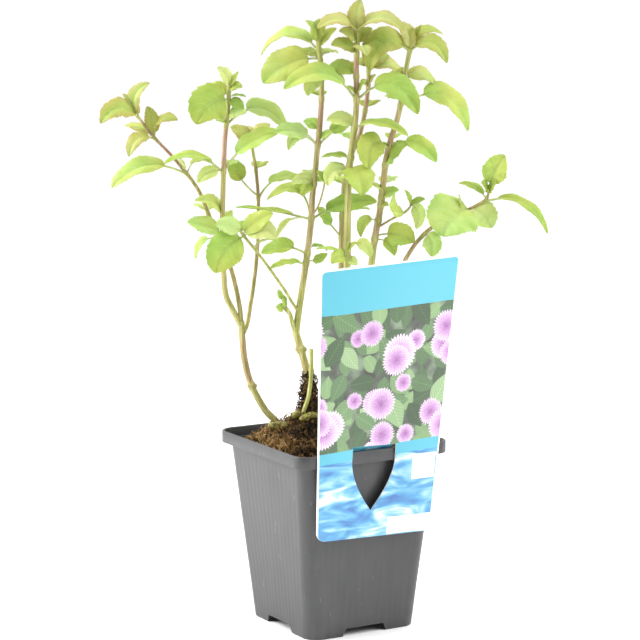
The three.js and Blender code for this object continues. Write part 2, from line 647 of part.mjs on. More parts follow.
function stemSolid(shoot, extraRadius = 0) {
  const route = shoot.route.map((p) => new THREE.Vector3(...p));
  const rings = route.map((centre, k) => {
    const before = route[Math.max(0, k - 1)];
    const after = route[Math.min(route.length - 1, k + 1)];
    const along = after.clone().sub(before).normalize();
    const side = new THREE.Vector3().crossVectors(along, new THREE.Vector3(0, 1, 0)).normalize();
    const front = new THREE.Vector3().crossVectors(along, side);
    const radius = THREE.MathUtils.lerp(shoot.thick[0], shoot.thick[1], k / (route.length - 1)) + extraRadius;
    return Array.from({ length: STEM_SIDES }, (_, s) => {
      const turn = ((s + 0.5) * 2 * Math.PI) / STEM_SIDES;
      return centre
        .clone()
        .addScaledVector(side, radius * Math.cos(turn))
        .addScaledVector(front, radius * Math.sin(turn));
    });
  });
  return solidOf(skinOver(rings));
}

// The point on a shoot's route at a height.
function pointAtHeight(route, z) {
  let k = 1;
  while (k < route.length - 1 && route[k][2] < z) k++;
  const low = new THREE.Vector3(...route[k - 1]);
  const high = new THREE.Vector3(...route[k]);
  return low.lerp(high, Math.min(1, (z - low.z) / (high.z - low.z)));
}

// Half the blade's width along it, 0 at its base and 1 at its tip, as a share of its widest.
const bladeShape = (s) => (s ** 0.45 * (1 - s) ** 0.6) / 0.488;

// A leaf from its root: a thin stalk that widens into a toothed blade, arched along its rib.
function leafSolid(root, reach, width, arch, roll, stalk) {
  const length = reach.length();
  const slight = length < SLIGHT_LEAF;
  const heading = new THREE.Vector3(reach.x, reach.y, 0).normalize();
  const up = new THREE.Vector3(0, 0, 1);
  const side = new THREE.Vector3().crossVectors(heading, up).multiplyScalar(reach.x < 0 ? -1 : 1);
  const rise = Math.atan2(reach.z, Math.hypot(reach.x, reach.y));
  const lift = heading.clone().multiplyScalar(-Math.sin(rise)).addScaledVector(up, Math.cos(rise));
  const turn = THREE.MathUtils.degToRad(roll);
  const ribAt = (t) =>
    root
      .clone()
      .addScaledVector(reach, t)
      .addScaledVector(lift, 4 * arch * length * t * (1 - t));
  // One section: blade edge, rib and other edge, above and below.
  const section = (t, half, forward) => {
    const rib = ribAt(t);
    const along = ribAt(t + 0.01).sub(ribAt(t - 0.01)).normalize();
    const slope = Math.atan2(along.z, along.dot(heading));
    const skyward = heading.clone().multiplyScalar(-Math.sin(slope)).addScaledVector(up, Math.cos(slope));
    const normal = skyward.multiplyScalar(Math.cos(turn)).addScaledVector(side, Math.sin(turn));
    const across = new THREE.Vector3().crossVectors(along, normal);
    const edge = (sign) =>
      rib
        .clone()
        .addScaledVector(across, sign * half)
        .addScaledVector(normal, slight ? 0 : half * FOLD)
        .addScaledVector(along, forward);
    const line = slight ? [edge(-1), edge(1)] : [edge(-1), rib, edge(1)];
    const above = line.map((p) => p.clone().addScaledVector(normal, BLADE_THICK / 2));
    const below = line.reverse().map((p) => p.clone().addScaledVector(normal, -BLADE_THICK / 2));
    return [...above, ...below];
  };
  const bladeLength = length * (1 - stalk);
  const size = Math.max(length, width);
  const teeth = size > 26 ? 4 : size > 14 ? 3 : 2;
  const sections = [section(0, PETIOLE_HALF, 0)];
  if (stalk > 0.1) sections.push(section(stalk, PETIOLE_HALF, 0));
  for (let k = 0; k < teeth; k++) {
    const tip = 0.16 + (0.74 * k) / (teeth - 1);
    const notch = tip + 0.035;
    const place = (s) => stalk + (1 - stalk) * s;
    sections.push(section(place(tip), (width / 2) * bladeShape(tip) * 1.05, 0.03 * bladeLength));
    sections.push(section(place(notch), (width / 2) * bladeShape(notch) * 0.9, 0.025 * bladeLength));
  }
  sections.push(section(1, 0.25, 0));
  return solidOf(skinOver(sections));
}

function leafyStem(shoots) {
  const parts = [];
  for (const shoot of shoots) {
    parts.push(stemSolid(shoot));
    for (const [z, x, y, up, width, arch, roll, stalk] of shoot.leaves)
      parts.push(leafSolid(pointAtHeight(shoot.route, z), new THREE.Vector3(x, y, up), width, arch, roll, stalk));
  }
  // Leaf bases that meet can close a hollow between them: only the outer skin is kept.
  const skins = wasm.Manifold.union(parts).simplify(MERGE).decompose();
  return skins.reduce((a, b) => (a.volume() > b.volume() ? a : b));
}

// The buried foot of a stem, a little thicker, to cut its hole in the soil.
const stemHole = (shoots) => stemSolid(shoots[0], GAP * 1.6);

// ---- Assembly -----------------------------------------------------------------------------

const LEAFY_STEMS = {
  left_leafy_stems: LEFT_STEM,
  centre_left_leafy_stem: CENTRE_LEFT_STEM,
  cut_stem: CUT_STEM,
  centre_leafy_stem: CENTRE_STEM,
  back_leafy_stem: BACK_STEM,
  right_leafy_stem: RIGHT_STEM,
  outer_right_leafy_stem: OUTER_RIGHT_STEM,
};

const mintPlant = new THREE.Group();
const potted = new THREE.Group();
potted.position.set(...POT_AT, 0);
mintPlant.add(potted);
const plant = new THREE.Group();
plant.rotation.z = PLANT_TURN;
potted.add(plant);

function addPiece(group, name, solid, material) {
  const mesh = new THREE.Mesh(geometryOf(solid), material);
  mesh.name = name;
  group.add(mesh);
}

const turnIntoPot = new THREE.Matrix4().makeRotationZ(PLANT_TURN);
let soil = soilSolid().add(crustSolid(CENTRE_LEFT_STEM[0])).subtract(tongueSolid(GAP, 3));
for (const shoots of Object.values(LEAFY_STEMS)) {
  const hole = geometryOf(stemHole(shoots)).applyMatrix4(turnIntoPot);
  soil = soil.subtract(solidOf(hole));
}

addPiece(potted, "pot", potSolid(), potPlastic);
addPiece(potted, "label", labelSheet().add(tongueSolid()), labelPlastic);
addPiece(potted, "soil", soil, compost);
for (const [name, shoots] of Object.entries(LEAFY_STEMS))
  addPiece(plant, name, leafyStem(shoots), shoots[0].leaves.length || shoots.length > 1 ? leafGreen : stemGreen);

export default mintPlant;
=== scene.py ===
# %% [markdown]
# # A potted mint plant
# A young mint stands in the square nursery pot that it is sold in, and its printed label hooks
# over the pot's rim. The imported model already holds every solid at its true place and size, so
# this lesson only dresses it: each solid that grew or was moulded is replaced by a finer piece of
# the same form, and the small things that give it life, such as moss, hairs and veins, are added.

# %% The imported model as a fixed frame
import math
import random
from contextlib import contextmanager
from functools import partial

import bmesh
import bpy
import numpy as np
from mathutils import Matrix, Vector, kdtree, noise


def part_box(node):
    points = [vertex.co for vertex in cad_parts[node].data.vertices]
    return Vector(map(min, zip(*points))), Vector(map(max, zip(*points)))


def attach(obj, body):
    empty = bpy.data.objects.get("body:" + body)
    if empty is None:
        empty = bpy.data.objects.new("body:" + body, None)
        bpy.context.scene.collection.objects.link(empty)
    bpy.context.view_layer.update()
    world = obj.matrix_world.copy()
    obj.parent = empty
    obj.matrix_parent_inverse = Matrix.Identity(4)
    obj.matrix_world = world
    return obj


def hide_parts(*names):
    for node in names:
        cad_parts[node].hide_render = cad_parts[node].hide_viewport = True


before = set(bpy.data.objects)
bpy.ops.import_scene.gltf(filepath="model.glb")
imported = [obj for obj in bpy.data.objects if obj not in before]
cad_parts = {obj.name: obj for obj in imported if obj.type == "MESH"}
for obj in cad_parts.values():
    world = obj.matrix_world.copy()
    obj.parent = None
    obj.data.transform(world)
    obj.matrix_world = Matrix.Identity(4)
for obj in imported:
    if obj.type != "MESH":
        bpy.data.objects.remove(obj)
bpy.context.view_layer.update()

# %% [markdown]
# ## Where things are
# Pieces are modelled in millimetres about the pot's own axis, which is how a grower would measure
# them. A last step called settle() brings each one to its place in metres, with its object at the
# origin. The plant has axes of its own, because it stands in the pot turned.

# %% Sizes and places
MM = 0.001
pot_low, pot_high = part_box("pot")
POT_AXIS = Vector(((pot_low.x + pot_high.x) / 2, (pot_low.y + pot_high.y) / 2, 0))
POT_HEIGHT = pot_high.z / MM
RIM_HALF = (pot_high.x - pot_low.x) / 2 / MM
PLANT_TURN = math.radians(-30.5)
print(f"The pot is {POT_HEIGHT:.1f} mm high and {2 * RIM_HALF:.1f} mm wide at its rim")


def settle(piece, turn=0.0):
    """Brings a piece from millimetres about the pot's axis to its place in metres."""
    place = Matrix.Translation(POT_AXIS) @ Matrix.Scale(MM, 4) @ Matrix.Rotation(turn, 4, "Z")
    piece.data.transform(place @ piece.matrix_world)
    piece.matrix_world = Matrix.Identity(4)
    piece.data.update()


# %% [markdown]
# ## Tools for modelling by hand
# An operator acts on all that is selected. The loaded solids are selected already, so each step
# starts by taking one piece in hand and leaving the rest alone. In edit mode, corners, edges or
# faces are picked by their place.

# %% Taking a piece in hand and picking parts of it
def take(*pieces):
    """Selects these pieces only, with the first one active."""
    bpy.ops.object.select_all(action="DESELECT")
    for piece in pieces:
        piece.select_set(True)
    bpy.context.view_layer.objects.active = pieces[0]
    return pieces[0]


def named(name):
    """Names the object that the last operator made, and takes it in hand."""
    piece = bpy.context.object
    piece.name = piece.data.name = name
    return take(piece)


def join(name, *pieces):
    """Makes one piece of several."""
    take(*pieces)
    bpy.ops.object.join()
    return named(name)


@contextmanager
def edit_mode():
    """What is indented under this happens in edit mode, and starts with all that is there selected."""
    bpy.ops.object.mode_set(mode="EDIT")
    bpy.ops.mesh.select_all(action="SELECT")
    yield
    bpy.ops.object.mode_set(mode="OBJECT")


def middle(edge):
    """The place of an edge's middle."""
    return (edge.verts[0].co + edge.verts[1].co) / 2


def pick(kind, test):
    """In edit mode, selects the corners, edges or faces for which the test is true."""
    bpy.ops.mesh.select_mode(type=kind)
    bpy.ops.mesh.select_all(action="DESELECT")
    shape = bmesh.from_edit_mesh(bpy.context.object.data)
    for item in {"VERT": shape.verts, "EDGE": shape.edges, "FACE": shape.faces}[kind]:
        item.select = test(item)
    shape.select_flush_mode()
    bmesh.update_edit_mesh(bpy.context.object.data)


def face_outwards():
    """In edit mode, turns every face's front to the outside."""
    bpy.ops.mesh.select_all(action="SELECT")
    bpy.ops.mesh.normals_make_consistent(inside=False)


# %% [markdown]
# Some things are done to many pieces: a modifier is set and applied, a shape is cut out, a piece
# is copied with a mesh of its own, and at the end each piece is smoothed and told where it rides.

# %% Copies, cuts and the last touch
def add_to_scene(name, data):
    """A new object for a mesh, a curve, a lamp or a camera."""
    thing = bpy.data.objects.new(name, data)
    bpy.context.scene.collection.objects.link(thing)
    return thing


def copy_of(piece):
    return add_to_scene(piece.name, piece.data.copy())


def modify(piece, kind, **settings):
    """Gives a piece a modifier with these settings, and applies it."""
    modifier = piece.modifiers.new(kind.lower(), kind)
    for name, value in settings.items():
        setattr(modifier, name, value)
    take(piece)
    bpy.ops.object.modifier_apply(modifier=modifier.name)


def cut(piece, cutter):
    """Cuts the cutter's shape out of a piece, and throws the cutter away."""
    modify(piece, "BOOLEAN", operation="DIFFERENCE", solver="EXACT", object=cutter)
    bpy.data.objects.remove(cutter)


def points_of(mesh):
    """The places of a mesh's corners, as an array with a row for each."""
    places = np.empty(len(mesh.vertices) * 3)
    mesh.vertices.foreach_get("co", places)
    return places.reshape(-1, 3)


def write_attribute(mesh, name, values):
    """Keeps one number for each corner, which a material can read."""
    layer = mesh.attributes.get(name) or mesh.attributes.new(name, "FLOAT", "POINT")
    layer.data.foreach_set("value", np.ascontiguousarray(values, dtype=np.float32))


def finish_piece(piece, slot, *nodes, angle=35):
    """Smooths a piece, lets it ride on the plant's one body and hides the imported parts that it stands
    for.
    """
    take(piece)
    bpy.ops.object.shade_smooth_by_angle(angle=math.radians(angle))
    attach(piece, "root")
    if nodes:
        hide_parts(*nodes)
    print(f"{piece.name}: {len(piece.data.polygons)} faces")


# %% [markdown]
# ## Tools for materials
# Colours are written as sRGB hex values, as a paint chart gives them, and turned to the linear
# values that light adds up in. One small function adds a node with its settings and links: words
# in small letters are the node's settings, and words with a capital name its inputs. An input
# holds a value, or takes what a socket or another node gives, which is a node's first output.

# %% Colours and nodes
def linear(colour):
    """A hex colour such as 8CC63F as linear red, green, blue and alpha."""
    parts = [int(colour[k : k + 2], 16) / 255 for k in (0, 2, 4)]
    return (*(p / 12.92 if p <= 0.04045 else ((p + 0.055) / 1.055) ** 2.4 for p in parts), 1.0)


def feed(node, *inputs, **named_inputs):
    """Fills a node's inputs, in their order or by their names."""
    pairs = list(zip([socket for socket in node.inputs if socket.enabled], inputs))
    pairs += [(node.inputs[name.replace("_", " ")], value) for name, value in named_inputs.items()]
    for socket, value in pairs:
        if isinstance(value, bpy.types.Node):
            value = next(output for output in value.outputs if output.enabled)
        if isinstance(value, bpy.types.NodeSocket):
            node.id_data.links.new(value, socket)
        else:
            socket.default_value = linear(value) if isinstance(value, str) else value


def add_node(tree, kind, *inputs, stops=(), **words):
    """Adds a node with its settings and links. Stops are a colour ramp's places and hex colours."""
    node = tree.nodes.new("ShaderNode" + kind)
    for name in [name for name in words if name.islower()]:
        setattr(node, name, words.pop(name))
    for k, (place, colour) in enumerate(stops):
        stop = node.color_ramp.elements[k] if k < 2 else node.color_ramp.elements.new(place)
        stop.position, stop.color = place, linear(colour)
    feed(node, *inputs, **words)
    return node


# %% [markdown]
# Every material starts alike. What comes back is the material, add(), which is add_node() for
# this material's own tree, its Principled shader, and a point's place on the piece. A stretched
# pattern is made by a Mapping, so its noise has a scale of 1.

# %% Starting a material
def start_material(name, coordinates="Object", **inputs):
    """A new material, what adds its nodes, its shader, and the place on the piece."""
    material = bpy.data.materials.new(name)
    material.use_nodes = True
    shader = material.node_tree.nodes["Principled BSDF"]
    feed(shader, **inputs)
    add = partial(add_node, material.node_tree)
    return material, add, shader, add("TexCoord").outputs[coordinates]


def every(gap):
    """The scale of a pattern that comes again every so many millimetres."""
    return 1 / (gap * MM)


def every_xyz(side, height):
    """The same for a pattern that is as long across as it is deep, and of another length upwards."""
    return every(side), every(side), every(height)


def mottled_material(name, gap, detail, stops, **inputs):
    """A material in shades of one colour, in soft spots that come again every so many millimetres."""
    material, add, shader, place = start_material(name, **inputs)
    spots = add("TexNoise", place, Scale=every(gap), Detail=detail)
    feed(shader, Base_Color=add("ValToRGB", spots, stops=stops))
    return material


# %% [markdown]
# ## A smooth line through chosen points
# Stems, roots and the label's tongue all follow lines. Each is given by a few points, and a
# Catmull-Rom spline goes smoothly through them all.

# %% Smooth lines
def smooth_line(route, step=1.2):
    """Points close together on a smooth line through a route, and each one's share of the way."""
    knots = [Vector(p) for p in route]
    knots = [2 * knots[0] - knots[1], *knots, 2 * knots[-1] - knots[-2]]
    line, shares = [], []
    spans = len(knots) - 3
    for k in range(spans):
        a, b, c, d = knots[k : k + 4]
        parts = max(2, round((c - b).length / step))
        for part in range(parts + (k == spans - 1)):
            t = part / parts
            line.append(
                b
                + (c - a) * (t / 2)
                + (2 * a - 5 * b + 4 * c - d) * (t * t / 2)
                + (3 * b - a - 3 * c + d) * (t**3 / 2)
            )
            shares.append((k + t) / spans)
    return line, shares


# %% [markdown]
# ## Camera, floor and light
# The plant was photographed with a long lens from a little above the pot's rim, on white paper
# under soft light. A plain pale floor, a bright sky and three soft lamps give that again. The
# sky is darker behind the camera and to its left, and the pot's near corner mirrors that side.

# %% Camera
TARGET = POT_AXIS + Vector((0, 0, 0.170))
CAMERA_AZIMUTH, CAMERA_ELEVATION, CAMERA_DISTANCE = -30.546, 8.42, 1.300
LENS, SENSOR_WIDTH, SHIFT = 140.6, 36, (-0.0200, -0.0289)
NEAREST, FURTHEST = 0.05, 20


def stand_at(thing, azimuth, elevation, distance):
    """Puts a camera or lamp round the plant, looking at it. Azimuth 0 is in front of the label."""
    a, e = math.radians(azimuth), math.radians(elevation)
    outward = Vector((math.sin(a) * math.cos(e), -math.cos(a) * math.cos(e), math.sin(e)))
    thing.location = TARGET + outward * distance
    thing.rotation_euler = (-outward).to_track_quat("-Z", "Y").to_euler()


camera = add_to_scene("camera", bpy.data.cameras.new("camera"))
bpy.context.scene.camera = camera
stand_at(camera, CAMERA_AZIMUTH, CAMERA_ELEVATION, CAMERA_DISTANCE)
camera.data.lens, camera.data.sensor_width = LENS, SENSOR_WIDTH
camera.data.shift_x, camera.data.shift_y = SHIFT
camera.data.clip_start, camera.data.clip_end = NEAREST, FURTHEST
print("The camera stands at", [round(x, 3) for x in camera.location])

# %% Floor
FLOOR_SIZE = 80
bpy.ops.mesh.primitive_plane_add(size=FLOOR_SIZE)
floor = named("floor")
paper, add, shader, place = start_material("white_paper", Roughness=0.9, Specular_IOR_Level=0.1)
grain = add("TexNoise", place, Scale=every(333), Detail=4.0)
feed(shader, Base_Color=add("Mix", grain, "FEFEFE", "FBFBFB", data_type="RGBA"))
floor.data.materials.append(paper)

# %% Sky
SKY_STRENGTH, DARK_SIDE_STRENGTH = 1.36, 0.05
DARK_SIDE_AZIMUTH = math.radians(-48)
DARKEST_FROM = 0.8

world = bpy.data.worlds.new("soft_sky")
bpy.context.scene.world = world
world.use_nodes = True
add = partial(add_node, world.node_tree)
dark_side = (math.sin(DARK_SIDE_AZIMUTH), -math.cos(DARK_SIDE_AZIMUTH), 0)
facing = add("VectorMath", add("TexCoord").outputs["Generated"], dark_side, operation="DOT_PRODUCT")
strengths = (SKY_STRENGTH, DARK_SIDE_STRENGTH)
strength = add("MapRange", facing, 0.0, DARKEST_FROM, *strengths, interpolation_type="SMOOTHSTEP")
feed(world.node_tree.nodes["Background"], "FFFFFF", strength)
bpy.context.scene.view_settings.view_transform = "Standard"

# %% Lamps, with azimuth, elevation, distance, size and power
LAMPS = {
    "left_softbox": (-120, 26, 0.8, 0.6, 11),
    "right_softbox": (38, 34, 1.6, 1.0, 17),
    "top_softbox": (-20, 72, 1.6, 1.0, 7),
}
for name, (azimuth, elevation, distance, size, power) in LAMPS.items():
    lamp = add_to_scene(name, bpy.data.lights.new(name, "AREA"))
    lamp.data.shape, lamp.data.size, lamp.data.energy = "SQUARE", size, power
    stand_at(lamp, azimuth, elevation, distance)
print("Lamps:", ", ".join(LAMPS))


# %% [markdown]
# ## The pot
# The pot is one injection moulding: thin tapering walls, a wider rim, round corners and a raised
# floor over a short skirt. Such a shell could be two blocks, one cut from the other, but a chain
# of extrusions keeps every edge where a hand can soften it. It starts as the underside of the
# floor, goes down inside the skirt, up the outside, over the rim and down inside to the floor.

# %% The pot's section, as half widths and heights
FOOT_HALF, WALL_TOP_HALF = 32.2, 41.2
CORNER_RADIUS, CORNER_STEPS = 8, 10
RIM_DROP = 6.4
WALL = 1.0
FLOOR_HEIGHT = 4.2
LEDGE = POT_HEIGHT - RIM_DROP
FLUTE_FOOT, FLUTE_TOP, FLUTE_FADE = 8.0, 88.0, 1.6


def wall_half(z):
    """Half the pot's outside width at a height under its rim."""
    return FOOT_HALF + (WALL_TOP_HALF - FOOT_HALF) * z / LEDGE


fluted_heights = (FLUTE_FOOT - FLUTE_FADE, FLUTE_FOOT, FLUTE_TOP, FLUTE_TOP + FLUTE_FADE)
floor_edge = wall_half(FLOOR_HEIGHT + WALL) - WALL
POT_SECTION = [
    (wall_half(FLOOR_HEIGHT) - WALL, FLOOR_HEIGHT),
    (FOOT_HALF - WALL, 0.3),
    (FOOT_HALF - 0.7, 0.0),
    (FOOT_HALF - 0.25, 0.0),
    (FOOT_HALF, 0.3),
    *((wall_half(z), z) for z in fluted_heights),
    (WALL_TOP_HALF, LEDGE - 0.35),
    (WALL_TOP_HALF + 0.35, LEDGE),
    (RIM_HALF - 0.4, LEDGE),
    (RIM_HALF - 0.1, LEDGE + 0.12),
    (RIM_HALF, LEDGE + 0.45),
    (RIM_HALF, POT_HEIGHT - 0.5),
    (RIM_HALF - 0.12, POT_HEIGHT - 0.15),
    (RIM_HALF - 0.45, POT_HEIGHT),
    (RIM_HALF - 0.75, POT_HEIGHT - 0.1),
    (RIM_HALF - WALL, POT_HEIGHT - 0.5),
    (RIM_HALF - WALL, LEDGE + WALL + 0.3),
    (RIM_HALF - WALL - 0.3, LEDGE + WALL),
    (WALL_TOP_HALF - WALL + 0.3, LEDGE + WALL),
    (WALL_TOP_HALF - WALL, LEDGE + WALL - 0.4),
    (floor_edge, FLOOR_HEIGHT + WALL + 0.6),
    (floor_edge - 0.6, FLOOR_HEIGHT + WALL),
]


# %% The chain of extrusions
def spread(amount):
    """Moves the ring in hand outwards, each round corner as a whole, so that its radius stays."""
    shape = bmesh.from_edit_mesh(bpy.context.object.data)
    for corner in shape.verts:
        if corner.select:
            corner.co.x += amount * math.copysign(1, corner.co.x)
            corner.co.y += amount * math.copysign(1, corner.co.y)
    bmesh.update_edit_mesh(bpy.context.object.data)


start_half, start_z = POT_SECTION[0]
bpy.ops.mesh.primitive_plane_add(size=2 * start_half, location=(0, 0, start_z))
pot = named("nursery_pot")
bpy.ops.object.transform_apply(location=True)
with edit_mode():
    bpy.ops.mesh.bevel(offset=CORNER_RADIUS, segments=CORNER_STEPS, affect="VERTICES")
    bpy.ops.mesh.select_all(action="SELECT")
    for (half_before, z_before), (half, z) in zip(POT_SECTION, POT_SECTION[1:]):
        bpy.ops.mesh.extrude_region_move(TRANSFORM_OT_translate={"value": (0, 0, z - z_before)})
        spread(half - half_before)
print("The pot's shell has", len(POT_SECTION), "rings")

# %% [markdown]
# The mould's polishing left faint upright flutes on the four flat walls. They are too regular for
# chance, so the flat walls are split into narrow strips and every few strips sink a little.

# %% Flutes
FLUTES = 15
STRIPS_PER_FLUTE = 8
FLUTE_DEPTH = 0.06
NEAR = 0.1


def is_flat_wall_edge(edge):
    """Whether an edge runs level along one of the four flat walls."""
    low, high = sorted(corner.co.z for corner in edge.verts)
    return edge.calc_length() > FOOT_HALF and high - low < NEAR


with edit_mode():
    pick("EDGE", is_flat_wall_edge)
    bpy.ops.mesh.subdivide(number_cuts=FLUTES * STRIPS_PER_FLUTE - 1)
    face_outwards()
for corner in pot.data.vertices:
    x, y, z = corner.co
    flat_half = wall_half(z) - CORNER_RADIUS
    along, outward = (y, 0) if abs(x) > abs(y) else (x, 1)
    on_skin = max(abs(x), abs(y)) > wall_half(z) - WALL / 2
    if on_skin and FLUTE_FOOT - NEAR < z < FLUTE_TOP + NEAR and abs(along) < flat_half:
        wave = 0.5 - 0.5 * math.cos(math.pi * FLUTES * (along / flat_half + 1))
        corner.co[outward] -= math.copysign(FLUTE_DEPTH * wave, corner.co[outward])
print("Each wall has", FLUTES, "flutes")

# %% [markdown]
# Water leaves by five holes in the floor and by a notch in the middle of each foot edge. Holes
# are simplest to cut: a tapered bar goes through two opposite walls at once.

# %% Notches and drain holes
NOTCH_HALF, NOTCH_FLARE, NOTCH_TOP, NOTCH_ROUND = 11.5, 2.0, 4.1, 0.8
DRAIN_RADIUS, DRAIN_SPREAD = 3.2, 19
notch_foot_half = NOTCH_HALF + NOTCH_FLARE

for turn in (0, math.pi / 2):
    bpy.ops.mesh.primitive_cube_add(size=1, location=(0, 0, (NOTCH_TOP - 1) / 2))
    bar = named("notch_bar")
    bar.scale = (2 * notch_foot_half, 3 * FOOT_HALF, NOTCH_TOP + 1)
    bpy.ops.object.transform_apply(location=True, scale=True)
    with edit_mode():
        pick("FACE", lambda face: face.normal.z > 0.9)
        bpy.ops.transform.resize(value=(NOTCH_HALF / notch_foot_half, 1, 1))
        pick("EDGE", lambda edge: abs(middle(edge).z - NOTCH_TOP) < NEAR and abs(middle(edge).y) < 1)
        bpy.ops.mesh.bevel(offset=NOTCH_ROUND, segments=3, affect="EDGES")
    bar.data.transform(Matrix.Rotation(turn, 4, "Z"))
    cut(pot, bar)
for x, y in ((1, 1), (-1, 1), (-1, -1), (1, -1), (0, 0)):
    place = (x * DRAIN_SPREAD, y * DRAIN_SPREAD, FLOOR_HEIGHT + WALL / 2)
    bpy.ops.mesh.primitive_cylinder_add(radius=DRAIN_RADIUS, depth=4 * WALL, vertices=32, location=place)
    cut(pot, named("drain_drill"))
print("The pot has", len(pot.data.polygons), "faces")

# %% [markdown]
# ### Polypropylene, injection moulded
# Recycled polypropylene is dyed a dark grey. The mould leaves it satin, with faint streaks down
# the walls where the melt flowed, and handling rubs it paler in a few scratches.

# %% Pot plastic
pot_plastic, add, shader, place = start_material(
    "moulded_polypropylene", IOR=1.49, Specular_IOR_Level=0.5
)
down_wall = add("Mapping", place, Scale=every_xyz(2.6, 70))
streaks = add("TexNoise", down_wall, Scale=1.0, Detail=3.0)
clouds = add("TexNoise", place, Scale=every(26), Detail=5.0, Roughness=0.6)
body = add("ValToRGB", add("Mix", 0.55, streaks, clouds), stops=[(0.3, "3B3B3C"), (0.7, "474748")])
scratch = add("TexNoise", add("Mapping", place, Scale=every_xyz(1.1, 9)), Scale=1.0, Detail=1.0)
rubbed = add("MapRange", scratch, From_Min=0.73, From_Max=0.83, To_Max=0.35)
satin = add("MapRange", clouds, From_Min=0.3, From_Max=0.7, To_Min=0.32, To_Max=0.46)
fine = add("TexNoise", add("Mapping", place, Scale=every_xyz(0.5, 0.9)), Scale=1.0, Detail=2.0)
colour = add("Mix", rubbed, body, "9C9C9C", data_type="RGBA")
relief = add("Bump", Height=fine, Distance=0.03 * MM)
feed(shader, Base_Color=colour, Roughness=satin, Normal=relief)
pot.data.materials.append(pot_plastic)
settle(pot)
finish_piece(pot, "pot_plastic", "pot")


# %% [markdown]
# ## The plant label
# The label is one stiff plastic sheet, wider at the top, with round corners. A pointed tongue is
# cut free in it and bent back over the pot's rim, so the sheet hangs by its own tongue. The
# tongue is modelled once, flat: one copy cuts the opening and the other is bent into the pot,
# which is how the punch at the printer's makes it.

# %% The sheet, flat on the table
LABEL_TOP_Z, LABEL_FOOT_Z = 196.5, 54.0
LABEL_TOP_HALF, LABEL_FOOT_HALF = 41.0, 34.0
LABEL_CORNER, LABEL_THICK, LABEL_EDGE = 5.0, 0.7, 0.12

label_height = LABEL_TOP_Z - LABEL_FOOT_Z
bpy.ops.mesh.primitive_plane_add(size=1, location=(0, LABEL_FOOT_Z + label_height / 2, 0))
label = named("printed_label")
label.scale = (2 * LABEL_FOOT_HALF, label_height, 1)
bpy.ops.object.transform_apply(location=True, scale=True)
with edit_mode():
    pick("VERT", lambda corner: corner.co.y > LABEL_TOP_Z - 1)
    bpy.ops.transform.resize(value=(LABEL_TOP_HALF / LABEL_FOOT_HALF, 1, 1))
    bpy.ops.mesh.select_all(action="SELECT")
    bpy.ops.mesh.bevel(offset=LABEL_CORNER, segments=10, affect="VERTICES")
print(f"The label is {label_height:.1f} mm high and {2 * LABEL_TOP_HALF:.1f} mm wide at its top")

# %% The tongue, flat
TONGUE_TOP_Z, TONGUE_LENGTH, TONGUE_X = 102.2, 34.0, -3.0
TONGUE_HALF, TONGUE_TIP_HALF = 12.8, 0.4
TONGUE_STRAIGHT, TONGUE_ARCH = 8.0, 1.7
TONGUE_ROWS = 30


def tongue_half(down):
    """Half the tongue's width at a distance down from its fold: straight, then a pointed arch."""
    share = max(0, down - TONGUE_STRAIGHT) / (TONGUE_LENGTH - TONGUE_STRAIGHT)
    return max(TONGUE_TIP_HALF, TONGUE_HALF * (1 - min(1, share) ** TONGUE_ARCH))


bpy.ops.mesh.primitive_grid_add(x_subdivisions=4, y_subdivisions=TONGUE_ROWS, size=1)
tongue = named("tongue")
tongue.scale = (2 * TONGUE_HALF, TONGUE_LENGTH, 1)
tongue.location = (TONGUE_X, TONGUE_TOP_Z - TONGUE_LENGTH / 2, 0)
bpy.ops.object.transform_apply(location=True, scale=True)
with edit_mode():
    for row in range(TONGUE_ROWS + 1):
        down = TONGUE_LENGTH * row / TONGUE_ROWS
        pick("VERT", lambda corner: abs(corner.co.y - (TONGUE_TOP_Z - down)) < NEAR)
        narrow = tongue_half(down) / TONGUE_HALF
        bpy.ops.transform.resize(value=(narrow, 1, 1), center_override=(TONGUE_X, 0, 0))

# %% Cutting the opening
punch = copy_of(tongue)
modify(label, "SOLIDIFY", thickness=LABEL_THICK, offset=1)
modify(punch, "SOLIDIFY", thickness=4 * LABEL_THICK, offset=0)
cut(label, punch)
edge_settings = {"width": LABEL_EDGE, "segments": 2, "angle_limit": math.radians(50)}
modify(label, "BEVEL", limit_method="ANGLE", **edge_settings)
print("The cut label has", len(label.data.polygons), "faces")

# %% [markdown]
# The print needs to know where it is on the flat sheet, so the flat places are kept as a map
# before anything is bent. Only the front carries the print; the back and the cut edges are bare.

# %% The print's map and the bare back
PRINT_MAP_SIZE = 100.0
FOLD_IN_BAND = 1.5
FRONT, BACK = 0, 1


def keep_flat_places(piece, shift):
    """Writes each corner's flat place as the piece's map, in hundreds of millimetres."""
    mesh = piece.data
    for layer in list(mesh.uv_layers):
        mesh.uv_layers.remove(layer)
    layer = mesh.uv_layers.new(name="flat_place")
    for loop in mesh.loops:
        place = mesh.vertices[loop.vertex_index].co
        layer.data[loop.index].uv = (place.x / PRINT_MAP_SIZE, (place.y + shift) / PRINT_MAP_SIZE)


for piece, shift in ((label, 0), (tongue, -FOLD_IN_BAND)):
    keep_flat_places(piece, shift)
    for _ in (FRONT, BACK):
        piece.data.materials.append(None)
for face in label.data.polygons:
    face.material_index = FRONT if face.normal.z > 0.9 else BACK

# %% The top edge, a little askew
TOP_SLANT = 0.066
for corner in label.data.vertices:
    share = max(0, corner.co.y - TONGUE_TOP_Z - 1) / (LABEL_TOP_Z - TONGUE_TOP_Z)
    corner.co.y += TOP_SLANT * corner.co.x * share

# %% [markdown]
# The tongue goes back over the rim, down inside the wall and ends in its point. The line that it
# follows is its wall side, seen from the side of the pot: each point is a y and a height. The
# print ends on the fold, and from there on the tongue is bare plastic.

